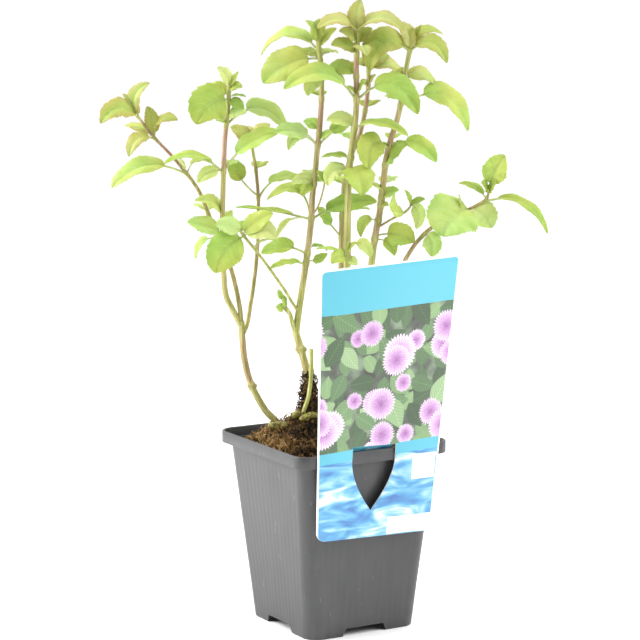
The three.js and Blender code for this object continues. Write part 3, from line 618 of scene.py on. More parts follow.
# %% Bending the tongue
TONGUE_LINE = [
    (-46.4, 102.5), (-45.0, 102.3), (-43.5, 101.3), (-42.4, 99.4), (-40.6, 96.4),
    (-39.2, 93.4), (-38.6, 88), (-37.7, 80), (-36.9, 72.6),
]
FOLD_END_Y = -41.0
LABEL_CLEARANCE = 0.3

line, _ = smooth_line([(0, y, z) for y, z in TONGUE_LINE], step=0.4)
walked = [0.0]
for before, after in zip(line, line[1:]):
    walked.append(walked[-1] + (after - before).length)
narrow = (TONGUE_HALF - LABEL_CLEARANCE) / TONGUE_HALF
for corner in tongue.data.vertices:
    down = min((TONGUE_TOP_Z - corner.co.y) * walked[-1] / TONGUE_LENGTH, walked[-1] - 1e-4)
    k = max(1, int(np.searchsorted(walked, down)))
    along = line[k - 1].lerp(line[k], (down - walked[k - 1]) / (walked[k] - walked[k - 1]))
    corner.co = (TONGUE_X + (corner.co.x - TONGUE_X) * narrow, along.y, along.z)
slot_cutter = copy_of(tongue)

for face in tongue.data.polygons:
    face.material_index = BACK
to_the_front = {"material_offset": -1, "material_offset_rim": -1}
modify(tongue, "SOLIDIFY", thickness=LABEL_THICK, offset=-1, **to_the_front)
for face in tongue.data.polygons:
    if face.center.y < FOLD_END_Y:
        face.material_index = FRONT
print(f"The bent tongue is {walked[-1]:.1f} mm long")

# %% Hanging the label on the rim
LABEL_LEAN, LABEL_TILT = math.radians(4), math.radians(1.6)
pivot = Matrix.Translation((0, 0, LEDGE))
stand = Matrix.Translation((0, -(RIM_HALF + LABEL_CLEARANCE), LEDGE))
stand = stand @ Matrix.Rotation(math.pi / 2 + LABEL_LEAN, 4, "X") @ Matrix.Rotation(-LABEL_TILT, 4, "Z")
label.data.transform(stand @ Matrix.Translation((0, -LEDGE, 0)))
for piece in (tongue, slot_cutter):
    piece.data.transform(pivot @ Matrix.Rotation(LABEL_TILT, 4, "Y") @ pivot.inverted())

# %% [markdown]
# ### Printed plastic
# The front is offset print under clear varnish: a plain blue header, a garden picture, a band and
# a pool of bright water. The picture is drawn here as plain many-petalled daisies over leaves.
# Each zone is worked out in millimetres on the flat sheet.

# %% Inks on the flat sheet
label_print, add, shader, flat = start_material(
    "offset_print_on_polypropylene", "UV", Roughness=0.34, IOR=1.49, Coat_Weight=0.25, Coat_Roughness=0.15
)
on_sheet = add("VectorMath", flat, Scale=PRINT_MAP_SIZE, operation="SCALE")
across, high, _ = add("SeparateXYZ", on_sheet).outputs


def over(value, edge, soft=0.12):
    """1 where a value is over an edge, 0 where it is under it, both in millimetres."""
    off = add("Math", value, edge, operation="SUBTRACT")
    return add("MapRange", off, From_Min=-soft, From_Max=soft)


def within(value, low_edge, high_edge):
    """1 between two edges."""
    return add("Math", over(value, low_edge), over(value, high_edge), operation="SUBTRACT")


def weighed(total, *patterns):
    """A sum of patterns, each times its weight, on top of a first number."""
    for pattern, weight in patterns:
        total = add("Math", pattern, weight, total, operation="MULTIPLY_ADD")
    return total


def ink_over(picture, covered, ink):
    """Prints an ink over what is there, where it covers."""
    return add("Mix", covered, picture, ink, data_type="RGBA")


# %% The garden picture's leaves
def scattered(spacing, shift, spread):
    """Cells over the sheet: where a point is from its cell's heart, and the cell's own dice rolls."""
    moved = add("Mapping", on_sheet, Location=(shift, 0.7 * shift, 0))
    cells = add("TexVoronoi", moved, Scale=1 / spacing, Randomness=spread, voronoi_dimensions="2D")
    off = add("VectorMath", moved, cells.outputs["Position"], operation="SUBTRACT")
    roll, other_roll, _ = add("SeparateXYZ", cells.outputs["Color"]).outputs
    return off, roll, other_roll


def leaves_in_picture(spacing, length, shift):
    """A layer of egg-shaped leaves: where it covers the picture, and its colour."""
    off, roll, other_roll = scattered(spacing, shift, 0.6)
    angle = add("Math", other_roll, 6.3, operation="MULTIPLY")
    turned = add("VectorRotate", off, Angle=angle, rotation_type="Z_AXIS")
    shares = add("VectorMath", turned, Scale=1 / length, operation="SCALE")
    along, side, _ = add("SeparateXYZ", shares).outputs
    side = add("Math", side, operation="ABSOLUTE")
    squared = add("Math", along, along, operation="MULTIPLY")
    half = add("Math", weighed(0.55, (squared, -0.55)), weighed(1.0, (along, -0.35)), operation="MULTIPLY")
    to_vein = add("Math", add("Math", along, side, operation="SUBTRACT"), 0.11, operation="PINGPONG")
    tone = weighed(0.12, (roll, 0.75), (to_vein, 1.2), (over(side, 0.025, 0.02), -0.12))
    greens = [(0.1, "41543C"), (0.4, "617F57"), (0.7, "86A473"), (0.95, "A6BE96")]
    return over(half, side, 0.03), add("ValToRGB", tone, stops=greens)


# %% The garden picture's daisies
PETALS = 32


def daisies(spacing, radius, shift):
    """A layer of many-petalled flowers: where it covers the picture, and its colour."""
    off, roll, _ = scattered(spacing, shift, 0.5)
    out = add("VectorMath", add("VectorMath", off, Scale=1 / radius, operation="SCALE"), operation="LENGTH")
    x, y, _ = add("SeparateXYZ", off).outputs
    swing = add("Math", add("Math", y, x, operation="ARCTAN2"), PETALS / 2, operation="MULTIPLY")
    waves = [add("Math", swing, operation=wave) for wave in ("COSINE", "SINE")]
    petal, inner = (add("Math", wave, operation="ABSOLUTE") for wave in waves)
    ragged = add("TexNoise", on_sheet, Scale=1 / 1.3, Detail=2.0)
    reach = weighed(0.5, (roll, 0.3), (petal, 0.13), (ragged, 0.25))
    ring = add("Mix", over(out, 0.45, 0.08), inner, petal)
    tone = weighed(-0.17, (out, 0.7), (ring, 0.28), (ragged, 0.35))
    lilacs = [(0.1, "8A4680"), (0.3, "A674AC"), (0.55, "C69EC9"), (0.85, "E6D2E8")]
    return over(reach, out, 0.04), add("ValToRGB", tone, stops=lilacs)


# %% The picture's layers, each with its spacing, size and shift
LEAF_LAYERS = ((12.0, 6.5, 3.0), (17.0, 8.0, 31.0), (26.0, 9.5, 58.0))
DAISY_LAYERS = ((27.0, 6.0, 17.0), (36.0, 8.5, 47.0), (38.0, 9.5, 9.0), (40.0, 8.8, 84.0))

shadows = add("TexNoise", on_sheet, Scale=1 / 12, Detail=3.0)
picture = add("ValToRGB", shadows, stops=[(0.35, "403F3D"), (0.5, "565E52"), (0.65, "7E9076")])
for draw, layers in ((leaves_in_picture, LEAF_LAYERS), (daisies, DAISY_LAYERS)):
    for layer in layers:
        picture = ink_over(picture, *draw(*layer))

# %% The water and the zones put together
BAND_SLOPE, HEADER_SLOPE = 0.045, 0.01
ZONES = ((96.2, BAND_SLOPE, "56AFC4"), (102.0, BAND_SLOPE, picture), (173.3, HEADER_SLOPE, "59B1C4"))
WHITE_PANELS = ((20.4, 34.2, 82.3, 95.4), (7.4, 33.4, 54.6, 63.6))
MARGIN = 0.8

ripples = add("Mapping", on_sheet, Scale=(1 / 24, 1 / 8, 1))
ripples = add("TexNoise", ripples, Scale=1.0, Detail=3.0, Distortion=1.2)
blues = [(0.32, "4674B0"), (0.44, "5498C6"), (0.52, "70B0CC"), (0.6, "A0CADA"), (0.68, "EEF5F8")]
ink = add("ValToRGB", ripples, stops=blues)
for foot, slope, zone in ZONES:
    ink = ink_over(ink, over(high, weighed(foot, (across, slope))), zone)
for left, right, low, top in WHITE_PANELS:
    panel = add("Math", within(across, left, right), within(high, low, top), operation="MULTIPLY")
    ink = ink_over(ink, panel, "F2F3F3")
widening = (LABEL_TOP_HALF - LABEL_FOOT_HALF) / label_height
half_here = weighed(LABEL_FOOT_HALF - MARGIN - LABEL_FOOT_Z * widening, (high, widening))
side_margins = over(add("Math", across, operation="ABSOLUTE"), half_here)
margins = add("Math", side_margins, over(high, LABEL_TOP_Z - MARGIN), operation="MAXIMUM")
ink = ink_over(ink, margins, "F4F7F8")
orange_peel = add("TexNoise", on_sheet, Scale=1 / 3.0, Detail=2.0)
feed(shader, Base_Color=ink, Normal=add("Bump", Height=orange_peel, Distance=0.012 * MM))

# %% Bare label plastic
label_back, add, shader, place = start_material("white_polypropylene_sheet", Roughness=0.4, IOR=1.49)
faint = add("TexNoise", place, Scale=every(7), Detail=3.0)
colour = add("Mix", faint, "F3F4F3", "E6E9EA", data_type="RGBA")
feed(shader, Base_Color=colour, Normal=add("Bump", Height=faint, Distance=0.02 * MM))

for piece in (label, tongue):
    piece.data.materials[FRONT], piece.data.materials[BACK] = label_print, label_back
label = join("printed_label", label, tongue)
settle(label)
finish_piece(label, "label_plastic", "label")


# %% [markdown]
# ## Tubes
# Strands of moss, runners, stems and leaf stalks are all tubes along lines. Each is a curve with
# a section, whose radius changes from point to point. One operator, convert, makes it a mesh.

# %% Tubes along lines
def tubes(name, lines, section=None, resolution=1):
    """A mesh of closed tubes. Each line is its points and the tube's radius at each of them."""
    curve = bpy.data.curves.new(name, "CURVE")
    curve.dimensions, curve.twist_mode, curve.use_fill_caps = "3D", "MINIMUM", True
    if section:
        curve.bevel_mode, curve.bevel_object = "OBJECT", section
    else:
        curve.bevel_depth, curve.bevel_resolution = 1, resolution
    for points, radii in lines:
        spline = curve.splines.new("POLY")
        spline.points.add(len(points) - 1)
        for knot, point, radius in zip(spline.points, points, radii):
            knot.co, knot.radius = (*point, 1), radius
    take(add_to_scene(name, curve))
    bpy.ops.object.convert(target="MESH")
    piece = named(name)
    with edit_mode():
        bpy.ops.mesh.remove_doubles(threshold=0.0001)
        face_outwards()
    return piece


# %% [markdown]
# ## The soil
# The pot is filled with peat. It has shrunk away in the left back corner and rises to a mound
# where the old rootstock pushes up. The block is a fine grid: every square ring of it gets round
# corners, its points are lifted to the soil's height, and its border is then drawn down inside
# the pot. Last, the label's tongue cuts the slot that it was pushed into.

# %% The soil's height
SOIL_EDGE_Z, SOIL_DIP = 95.5, 4.0
MOUND_HEIGHT, MOUND_REACH, MOUND_AT = 10.5, 18.0, (-15.5, 13.5)
HEAP_HEIGHT, HEAP_REACH, HEAP_AT = 5.0, 7.5, (-16.5, 1.6)


def heap(x, y, height, reach, at):
    """The height of a round heap over a place."""
    return height * math.exp(-((math.hypot(x - at[0], y - at[1]) / reach) ** 2))


def soil_height(x, y):
    """Height of the soil over a place in the pot, with its crumbs."""
    inside_half = wall_half(SOIL_EDGE_Z) - WALL
    sunken = SOIL_DIP * max(0, (y - x) / inside_half - 1)
    lumps = 0.7 * math.sin(0.55 * x + 1.3) * math.cos(0.48 * y - 0.4) + 0.4 * math.sin(0.23 * (x + y))
    mound = heap(x, y, MOUND_HEIGHT, MOUND_REACH, MOUND_AT) + heap(x, y, HEAP_HEIGHT, HEAP_REACH, HEAP_AT)
    coarse = noise.noise(Vector((x / 3.1, y / 3.1, 2)))
    fine = noise.noise(Vector((x / 1.1, y / 1.1, 7)))
    return SOIL_EDGE_Z + mound - sunken + lumps + 0.9 * coarse + 0.45 * fine


# %% The block of peat
SOIL_CELLS = 130
SOIL_GAP = 0.3
SOIL_SHOULDER_Z, SOIL_FOOT_Z = 80.0, FLOOR_HEIGHT + WALL + SOIL_GAP
SOIL_HALF = wall_half(SOIL_EDGE_Z - SOIL_DIP) - WALL - SOIL_GAP

bpy.ops.mesh.primitive_grid_add(x_subdivisions=SOIL_CELLS, y_subdivisions=SOIL_CELLS, size=2 * SOIL_HALF)
soil = named("peat_block")
for corner in soil.data.vertices:
    x, y = abs(corner.co.x), abs(corner.co.y)
    ring = max(x, y)
    radius = min(CORNER_RADIUS - WALL, 0.6 * ring)
    off = Vector((x, y)) - Vector((ring - radius, ring - radius))
    if min(off) > 0:
        off = off.normalized() * radius
        corner.co.x = math.copysign(ring - radius + off.x, corner.co.x)
        corner.co.y = math.copysign(ring - radius + off.y, corner.co.y)
    corner.co.z = soil_height(corner.co.x, corner.co.y)
with edit_mode():
    bpy.ops.mesh.select_all(action="DESELECT")
    bpy.ops.mesh.select_mode(type="VERT")
    bpy.ops.mesh.select_non_manifold()
    half = SOIL_HALF
    for height in (SOIL_SHOULDER_Z, SOIL_FOOT_Z):
        wider = (wall_half(height) - WALL - SOIL_GAP) / half
        bpy.ops.mesh.extrude_region_move()
        bpy.ops.transform.resize(value=(wider, wider, 0), center_override=(0, 0, height))
        half *= wider
    bpy.ops.mesh.edge_face_add()
    face_outwards()

# %% The tongue's slot
modify(slot_cutter, "SOLIDIFY", thickness=LABEL_THICK + 2 * SOIL_GAP, offset=-1)
slot_cutter.data.transform(Matrix.Translation((0, -SOIL_GAP, 0)))
cut(soil, slot_cutter)
print("The peat block has", len(soil.data.polygons), "faces")

# %% [markdown]
# ### What lies on it
# Small things that come again and again are modelled once, then copied with their own turn and
# size into one mesh: crumbs of peat, grains of perlite, and frizzy strands of moss. Each copy
# keeps a tone, a number that its material turns into its own shade.

# %% Copying one model many times
def copies(name, model, places, tones):
    """One mesh of many copies of a model, each at its own place and with its own tone.

    up_copy keeps each corner's height in the model, so that a strand can darken to its root, as painted
    shade deep in its tuft.
    """
    shape = points_of(model.data)
    faces = np.array([face.vertices[:] for face in model.data.polygons])
    turns = np.array([np.array(place) for place in places])
    corners = np.einsum("kij,vj->kvi", turns[:, :3, :3], shape) + turns[:, None, :3, 3]
    numbers = faces[None] + len(shape) * np.arange(len(places))[:, None, None]
    mesh = bpy.data.meshes.new(name)
    mesh.from_pydata(corners.reshape(-1, 3).tolist(), [], numbers.reshape(-1, faces.shape[1]).tolist())
    write_attribute(mesh, "tone", np.repeat(tones, len(shape)))
    write_attribute(mesh, "up_copy", np.tile(shape[:, 2], len(places)))
    print(f"{name}: {len(places)} copies")
    return add_to_scene(name, mesh)


def placed(spot, dice, size, lean=math.pi):
    """A place with a random turn, leaning up to an angle from upright, with a size for each axis."""
    turns = ((2 * math.pi, "Z"), (lean, "X"), (2 * math.pi, "Z"))
    upright, leaning, spun = (Matrix.Rotation(dice.uniform(0, most), 4, axis) for most, axis in turns)
    return Matrix.Translation(spot) @ upright @ leaning @ spun @ Matrix.Diagonal((*size, 1))


def near_tongue(x, y, before, beside):
    """Whether a place is too near the slot that the label's tongue goes into."""
    return y < before - SOIL_HALF and abs(x - TONGUE_X) < TONGUE_HALF + beside


def on_ledge(x, y):
    """Whether a place is past the soil's edge, on the ledge inside the rim."""
    return max(abs(x), abs(y)) > SOIL_HALF


def kept_between(low, high, value):
    return min(high, max(low, value))


# %% Crumbs and perlite
CRUMBS, PERLITE_GRAINS = 2300, 26
FURTHEST_CRUMB, CORNER_SUM = 43, 80
LARGE_SHARE, LEDGE_THINNING = 0.10, 0.45

bpy.ops.mesh.primitive_ico_sphere_add(subdivisions=1, radius=0.5)
crumb = named("crumb")
dice = random.Random(5)
for corner in crumb.data.vertices:
    corner.co *= dice.uniform(0.72, 1.2)

crumb_places, crumb_tones = [], []
while len(crumb_places) < CRUMBS:
    x, y = (dice.uniform(-FURTHEST_CRUMB, FURTHEST_CRUMB) for _ in "xy")
    if abs(x) + abs(y) > CORNER_SUM or (on_ledge(x, y) and dice.random() < LEDGE_THINNING):
        continue
    if near_tongue(x, y, 2.5, 1):
        continue
    size = dice.uniform(0.7, 1.5) * (1.7 if dice.random() < LARGE_SHARE else 1)
    z = LEDGE + WALL + 0.3 * size if on_ledge(x, y) else soil_height(x, y) + 0.1 * size
    shape = (size, size * dice.uniform(0.6, 1), size * dice.uniform(0.5, 0.9))
    crumb_places.append(placed((x, y, z), dice, shape))
    crumb_tones.append(dice.random())
crumbs = copies("peat_crumbs", crumb, crumb_places, crumb_tones)

grain_places = []
for _ in range(PERLITE_GRAINS):
    x, y = dice.uniform(-38, 36), dice.uniform(-30, 38)
    grain_places.append(placed((x, y, soil_height(x, y) + 0.4), dice, (dice.uniform(0.7, 1.4),) * 3))
perlite = copies("perlite_grains", crumb, grain_places, [0.5] * PERLITE_GRAINS)

# %% [markdown]
# The moss is brown and dry. It sits in tufts on the near side of the mound and thins out towards
# the far side, where bare peat shows. A strand is a thin curled tube, and a tuft a handful of them.

# %% Two strands, one more curled than the other
STRAND_STEPS = 5
STRAND_CURL, STRAND_RADIUS, STRAND_TAPER = 0.2, 0.085, 0.8

strands = []
for k, turns in enumerate((0.55, 0.9)):
    shares = [step / STRAND_STEPS for step in range(STRAND_STEPS + 1)]
    bends = [2 * math.pi * turns * share for share in shares]
    points = [
        Vector((STRAND_CURL * (1 - math.cos(bend)), STRAND_CURL * math.sin(bend), share))
        for bend, share in zip(bends, shares)
    ]
    radii = [STRAND_RADIUS * (1 - STRAND_TAPER * share) for share in shares]
    strands.append(tubes(f"strand_{k}", [(points, radii)], resolution=0))
    with edit_mode():
        bpy.ops.mesh.quads_convert_to_tris()

# %% Moss in tufts
TUFTS, STRANDS_IN_TUFT = 520, 5
MOSS_AT, MOSS_REACH, LEAST_MOSS = (-27, -3), (17, 25), 0.05
FURTHEST_MOSS, MOSS_CORNER_SUM = (-43, 40), 78
RUNNER_CLEARING, CLEARING_REACH = (-28, 6), 8

strand_places, strand_tones = ([], []), ([], [])
tufts = 0
while tufts < TUFTS:
    x, y = (dice.uniform(*FURTHEST_MOSS) for _ in "xy")
    off = math.hypot((x - MOSS_AT[0]) / MOSS_REACH[0], (y - MOSS_AT[1]) / MOSS_REACH[1])
    if dice.random() > max(LEAST_MOSS, math.exp(-(off**2.4))) or abs(x) + abs(y) > MOSS_CORNER_SUM:
        continue
    if near_tongue(x, y, 3.5, 3):
        continue
    tufts += 1
    on_soil = soil_height(kept_between(-SOIL_HALF, SOIL_HALF, x), y) - 0.3
    z = LEDGE + WALL + 0.2 if on_ledge(x, y) else on_soil
    # Tufts towards the right of the plant's foot get darker tones: this is painted shade.
    painted_shade = kept_between(0, 1, (x - y / 1.7 + 31) / 14)
    tuft_tone = dice.uniform(0.3, 0.95) * (1 - painted_shade) + dice.uniform(0, 0.4) * painted_shade
    low = 0.6 if math.dist((x, y), RUNNER_CLEARING) < CLEARING_REACH else 1
    for _ in range(STRANDS_IN_TUFT):
        kind = dice.randrange(2)
        spot = (x + dice.uniform(-1, 1), y + dice.uniform(-1, 1), z)
        long = dice.uniform(2.6, 5.6) * (1 if off < 1 else 0.7) * low
        wide = dice.uniform(3.6, 5.6)
        place = placed(spot, dice, (wide, wide, long), lean=1.25)
        tip = place @ Vector((0, 0, 1))
        if max(abs(tip.x), abs(tip.y)) > RIM_HALF - 2 and tip.z < POT_HEIGHT + 0.6:
            continue
        strand_places[kind].append(place)
        strand_tones[kind].append(kept_between(0, 1, tuft_tone + dice.uniform(-0.3, 0.3)))
moss = [copies(f"moss_{k}", strands[k], strand_places[k], strand_tones[k]) for k in range(2)]

# %% [markdown]
# ### The rootstock
# Pale green runners break the surface at the stems' feet, and a dark, ragged crust of dead moss
# and roots has climbed the foot of the tallest stem. Both follow the plant's own axes.

# %% Runners, each with its radius
RUNNERS = [
    (2.4, [(-33, -4, 105), (-31, -5.6, 105.6), (-27.5, -6, 105.4), (-24.5, -5.6, 105.2), (-22.5, -5, 104)]),
    (2.0, [(-20.8, -6.2, 109.8), (-19.8, -6.8, 111.2), (-18.4, -7.2, 112.4), (-17.2, -7, 113)]),
    (
        1.8,
        [(-17, -9, 109.2), (-15.2, -9.2, 110.2), (-13, -9, 111.2), (-10.8, -8.2, 111.6), (-8.6, -6, 110)],
    ),
    (1.8, [(-4, 2, 99), (0, 1, 102.6), (4, -2, 103), (7, -5, 101)]),
]
lines = []
for thick, route in RUNNERS:
    line, shares = smooth_line(route, step=0.7)
    radii = [thick * (0.55 + 0.45 * math.sin(math.pi * share)) for share in shares]
    lines.append((line, [r * (1 + 0.14 * math.sin(9 * share)) for r, share in zip(radii, shares)]))
runners = tubes("runners", lines, resolution=4)
for corner in runners.data.vertices:
    corner.co += 0.3 * noise.noise_vector(corner.co / 1.4)

# %% The crust
CRUST_LINE = [(-13, 1.5, 97), (-13.2, 1.4, 107), (-12.6, 1.4, 116), (-12.4, 1.6, 123), (-12.6, 2, 131)]
CRUST_RADII = (6.8, 5.8, 4.4, 3.5, 1.8)
line, shares = smooth_line(CRUST_LINE, step=0.7)
radii = [float(np.interp(share, np.linspace(0, 1, len(CRUST_RADII)), CRUST_RADII)) for share in shares]
crust = tubes("root_crust", [(line, radii)], resolution=8)
crust_normals = [corner.normal.copy() for corner in crust.data.vertices]
for corner, normal in zip(crust.data.vertices, crust_normals):
    ragged = noise.noise(corner.co / 1.9) + 0.6 * noise.noise(corner.co / 0.8)
    corner.co += normal * (1.1 * ragged - 0.3)

# %% Loose fibres on both
CRUST_FIBRES, RUNNER_STRANDS = 420, 110
fibre_places, fibre_tones = [], []
for _ in range(CRUST_FIBRES):
    k = dice.randrange(len(line) // 4, len(line))
    turn = dice.uniform(0, 2 * math.pi)
    outward = Vector((math.cos(turn), math.sin(turn), 0))
    aim = (outward + Vector((0, 0, dice.uniform(-0.7, 0.9)))).to_track_quat("Z", "Y").to_matrix().to_4x4()
    wide, long = dice.uniform(4.5, 8.0), dice.uniform(1.4, 3.8)
    size = Matrix.Diagonal((wide, wide, long, 1)) @ Matrix.Rotation(dice.uniform(0, 6.28), 4, "Z")
    fibre_places.append(Matrix.Translation(line[k] + outward * (0.8 * radii[k])) @ aim @ size)
    fibre_tones.append(dice.uniform(0, 0.6))
for _ in range(RUNNER_STRANDS):
    spot = dice.choice(runners.data.vertices).co
    wide, long = dice.uniform(3.0, 5.0), dice.uniform(1.4, 2.8)
    fibre_places.append(placed(spot - Vector((0, 0, 0.6)), dice, (wide, wide, long), lean=2.6))
    fibre_tones.append(dice.uniform(0.2, 0.9))
fibres = copies("crust_fibres", strands[1], fibre_places, fibre_tones)
for piece in (runners, crust, fibres):
    piece.data.transform(Matrix.Rotation(PLANT_TURN, 4, "Z"))
for model in (crumb, *strands):
    bpy.data.objects.remove(model)

# %% [markdown]
# ### Peat, moss and runners
# Damp peat is nearly black with rust-brown crumbs and dulls all light that falls on it. Dry moss
# is straw and rust coloured. The runners are as pale as celery, because they grew in the dark.
# Perlite is a glass blown up by heat, so its grains are chalky white with fine pores.

# %% Soil materials
peat, add, shader, place = start_material("damp_peat", Roughness=0.92, Specular_IOR_Level=0.25)
tone = add("Attribute", attribute_name="tone").outputs["Fac"]
clods = add("Math", add("TexNoise", place, Scale=every(5), Detail=5.0), 0.8, operation="MULTIPLY")
mixed = add("Math", tone, 0.35, clods, operation="MULTIPLY_ADD")
browns = [(0.3, "1E1812"), (0.5, "3B2D20"), (0.66, "5E4630"), (0.8, "7E6342")]
grit = add("TexNoise", place, Scale=every(0.7), Detail=3.0)
relief = add("Bump", Height=grit, Distance=0.35 * MM)
feed(shader, Base_Color=add("ValToRGB", mixed, stops=browns), Normal=relief)

dry_moss, add, shader, _ = start_material("dry_moss", Roughness=0.8, Specular_IOR_Level=0.2)
tone, up_copy = (add("Attribute", attribute_name=name).outputs["Fac"] for name in ("tone", "up_copy"))
# Each strand is painted darker towards its root: painted shade deep in the tuft.
root_shade = add("Math", up_copy, 0.75, 0.3, operation="MULTIPLY_ADD")
tone = add("Math", tone, root_shade, operation="MULTIPLY")
straws = [(0.05, "1A150C"), (0.22, "44321C"), (0.45, "7C5E34"), (0.7, "B4905A"), (0.95, "DCBE8C")]
feed(shader, Base_Color=add("ValToRGB", tone, stops=straws))

greens = [(0.33, "423A1A"), (0.45, "70692A"), (0.6, "8E8A3E"), (0.7, "A8A458")]
runner_skin = mottled_material("mint_runner", 1.6, 4.0, greens, Roughness=0.5, IOR=1.42)
chalks = [(0.35, "DCD5C0"), (0.6, "EFEBDC")]
white_grain = mottled_material("perlite", 0.6, 2.0, chalks, Roughness=0.85)

# %% The soil put together
SURFACE = {soil: peat, crumbs: peat, crust: peat, runners: runner_skin, perlite: white_grain}
MOSS = {moss[0]: dry_moss, moss[1]: dry_moss, fibres: dry_moss}
for name, materials in (("soil_surface", SURFACE), ("moss", MOSS)):
    for piece, material in materials.items():
        piece.data.materials.append(material)
    piece = join(name, *materials)
    settle(piece)
    finish_piece(piece, "compost", "soil", angle=50)


# %% [markdown]
# ## How the mint grows
# Every stem is a list of shoots. A shoot's route is the line that it grows along, and thick is its
# radius at foot and tip. Each leaf is written as (height on the shoot, reach of its tip in x, y
# and z, width, arch, roll, share that is stalk): arch is the rise of the leaf above a straight
# line to its tip, as a share of its length, and roll turns its upper face from the sky towards
# the label side, in degrees. x runs across the plant, y away from the label and z up.
#
# Sun turns a stem from yellow-green to purple-brown: brown lists how far, as (height, share).
# Bronze says how far a shoot's young leaves turn, and scars are heights where leaves once grew.

# %% Stems and leaves, in millimetres
STEM_FOOT_Z = 82

LEFT_STEM = [
    {
        "thick": (1.9, 1.7),
        "brown": [(98, 0.2), (112, 0.4), (121, 0.25), (126, 0.8), (146, 0.6), (156, 0.15)],
        "scars": [123.5],
        "route": [
            (-27, 8, STEM_FOOT_Z), (-27, 8, 98), (-30, 8, 105), (-35, 9, 110), (-40, 10, 118),
            (-44, 11, 127), (-46.5, 11, 138), (-47.5, 11, 148), (-48, 11, 158),
        ],
        "leaves": [],
    },
    {
        "thick": (1.6, 1.05),
        "brown": [(155, 0.2), (200, 0.4), (234, 0.35), (240, 0.9), (258, 1), (264, 0.3), (272, 0.1)],
        "bronze": 0.15,
        "route": [
            (-47.8, 11, 155), (-52, 11, 163), (-56, 10, 172), (-57, 9, 183), (-57.5, 8, 197),
            (-57.5, 7, 212), (-57, 6, 227), (-56.5, 6, 240), (-56, 6, 252), (-55, 6, 262),
            (-54, 6, 272), (-53.5, 6, 282),
        ],
        "leaves": [
            (202, -14, 2, -11, 6, 0.3, 40, 0.35), (205, -18, -3, 6, 11, 0.05, 50, 0.12),
            (211, -14, -2, 11, 10, 0.3, 35, 0.2), (211, 5, 6, 5, 5, 0, 30, 0.2),
            (237, -30, -10, 5, 10, 0.2, 15, 0.22), (238, -13, -7, -6, 8, 0.15, 45, 0.2),
            (238, 29, -5, 20, 12, 0.12, 45, 0.3), (237, 6, 14, 3, 9, 0.2, 0, 0.2),
            (262, 31, 7, -4.5, 14, 0.32, 40, 0.3), (266, 10, -6, 2, 8, 0.1, 50, 0.15),
            (262, -5, -5, 2, 4, 0.1, 40, 0.2), (262, -5, 13, 3, 10, 0.15, 0, 0.2),
            (274.5, -16, -9, -12, 21, 0.2, 60, 0.08), (274, 8, -4, -4, 6, 0.1, 50, 0.1),
            (276, 9, -2, 0, 4, 0.1, 10, 0.2), (277, -12, 2, 0.5, 11, 0.15, 50, 0.1),
            (279, 7, -3, 2, 6, 0.2, 50, 0.1), (281, -6, -1, 10, 7.5, 0.15, 60, 0.1),
            (281, 5, -1, 8, 4, 0, 50, 0.1),
        ],
    },
    {
        "thick": (1.5, 0.85),
        "brown": [(154, 0.3), (195, 0.65), (212, 0.6), (232, 0.35), (240, 0.9), (258, 1), (265, 0.6)],
        "bronze": 1.0,
        "route": [
            (-47.8, 11, 154), (-49, 12, 166), (-52, 14, 180), (-56, 15, 193), (-60, 16, 203.5),
            (-64.4, 16, 212), (-69, 16, 224), (-72.8, 16, 230.5), (-77, 16, 236), (-84, 16, 244.5),
            (-93.5, 16, 254.5), (-101.5, 16, 265),
        ],
        "leaves": [
            (235.3, -38, -12, -6.5, 14, 0.2, 30, 0.27), (235.3, 12, 5, 5, 6, 0.3, 10, 0.3),
            (214, -6, 13, 3, 10, 0.15, 0, 0.15), (237, -2, -4, 7, 5, 0, 20, 0.1),
            (254.5, 13, -7, 9, 9, 0.3, 35, 0.15), (255, -3, 2, 15, 8, 0.1, 60, 0.1),
            (253.5, -13, -9, -8.5, 9, 0.3, 30, 0.15), (254.5, -15.5, 9, 5, 7, 0.1, 30, 0.15),
            (264.5, -19, -8, -2.5, 13, 0.3, 45, 0.08), (264.5, 6, -1, 18, 9, 0.28, 60, 0.08),
            (264.5, -8.5, 3, 12, 5, 0.1, 40, 0.1),
        ],
    },
    {
        "thick": (1.35, 0.85),
        "brown": [(150, 0.2), (180, 0.5), (215, 0.4), (224, 0.95), (237, 0.9), (243, 0.1)],
        "bronze": 0.9,
        "route": [
            (-47.6, 12, 150), (-45, 16, 156), (-43.5, 18, 165), (-41.5, 20, 178), (-40, 21, 192),
            (-39.2, 22, 207), (-39.2, 22, 222), (-40.3, 22, 236), (-42, 22, 247), (-43, 22, 252),
        ],
        "leaves": [
            (223, -14, 1, 19, 10, -0.08, 60, 0.5), (222, 25, 2, 8, 9, 0.25, 25, 0.3),
            (236, 4, 12, 3, 9, 0.15, 0, 0.15), (250, -11, 2, 9, 9, 0.1, 45, 0.1),
            (251, 10, 1, 9, 9, 0.1, 45, 0.1), (251, -2, 6, 8, 6, 0.1, 20, 0.15),
            (250, -3, -5, 5, 5, 0.1, 30, 0.15),
        ],
    },
]

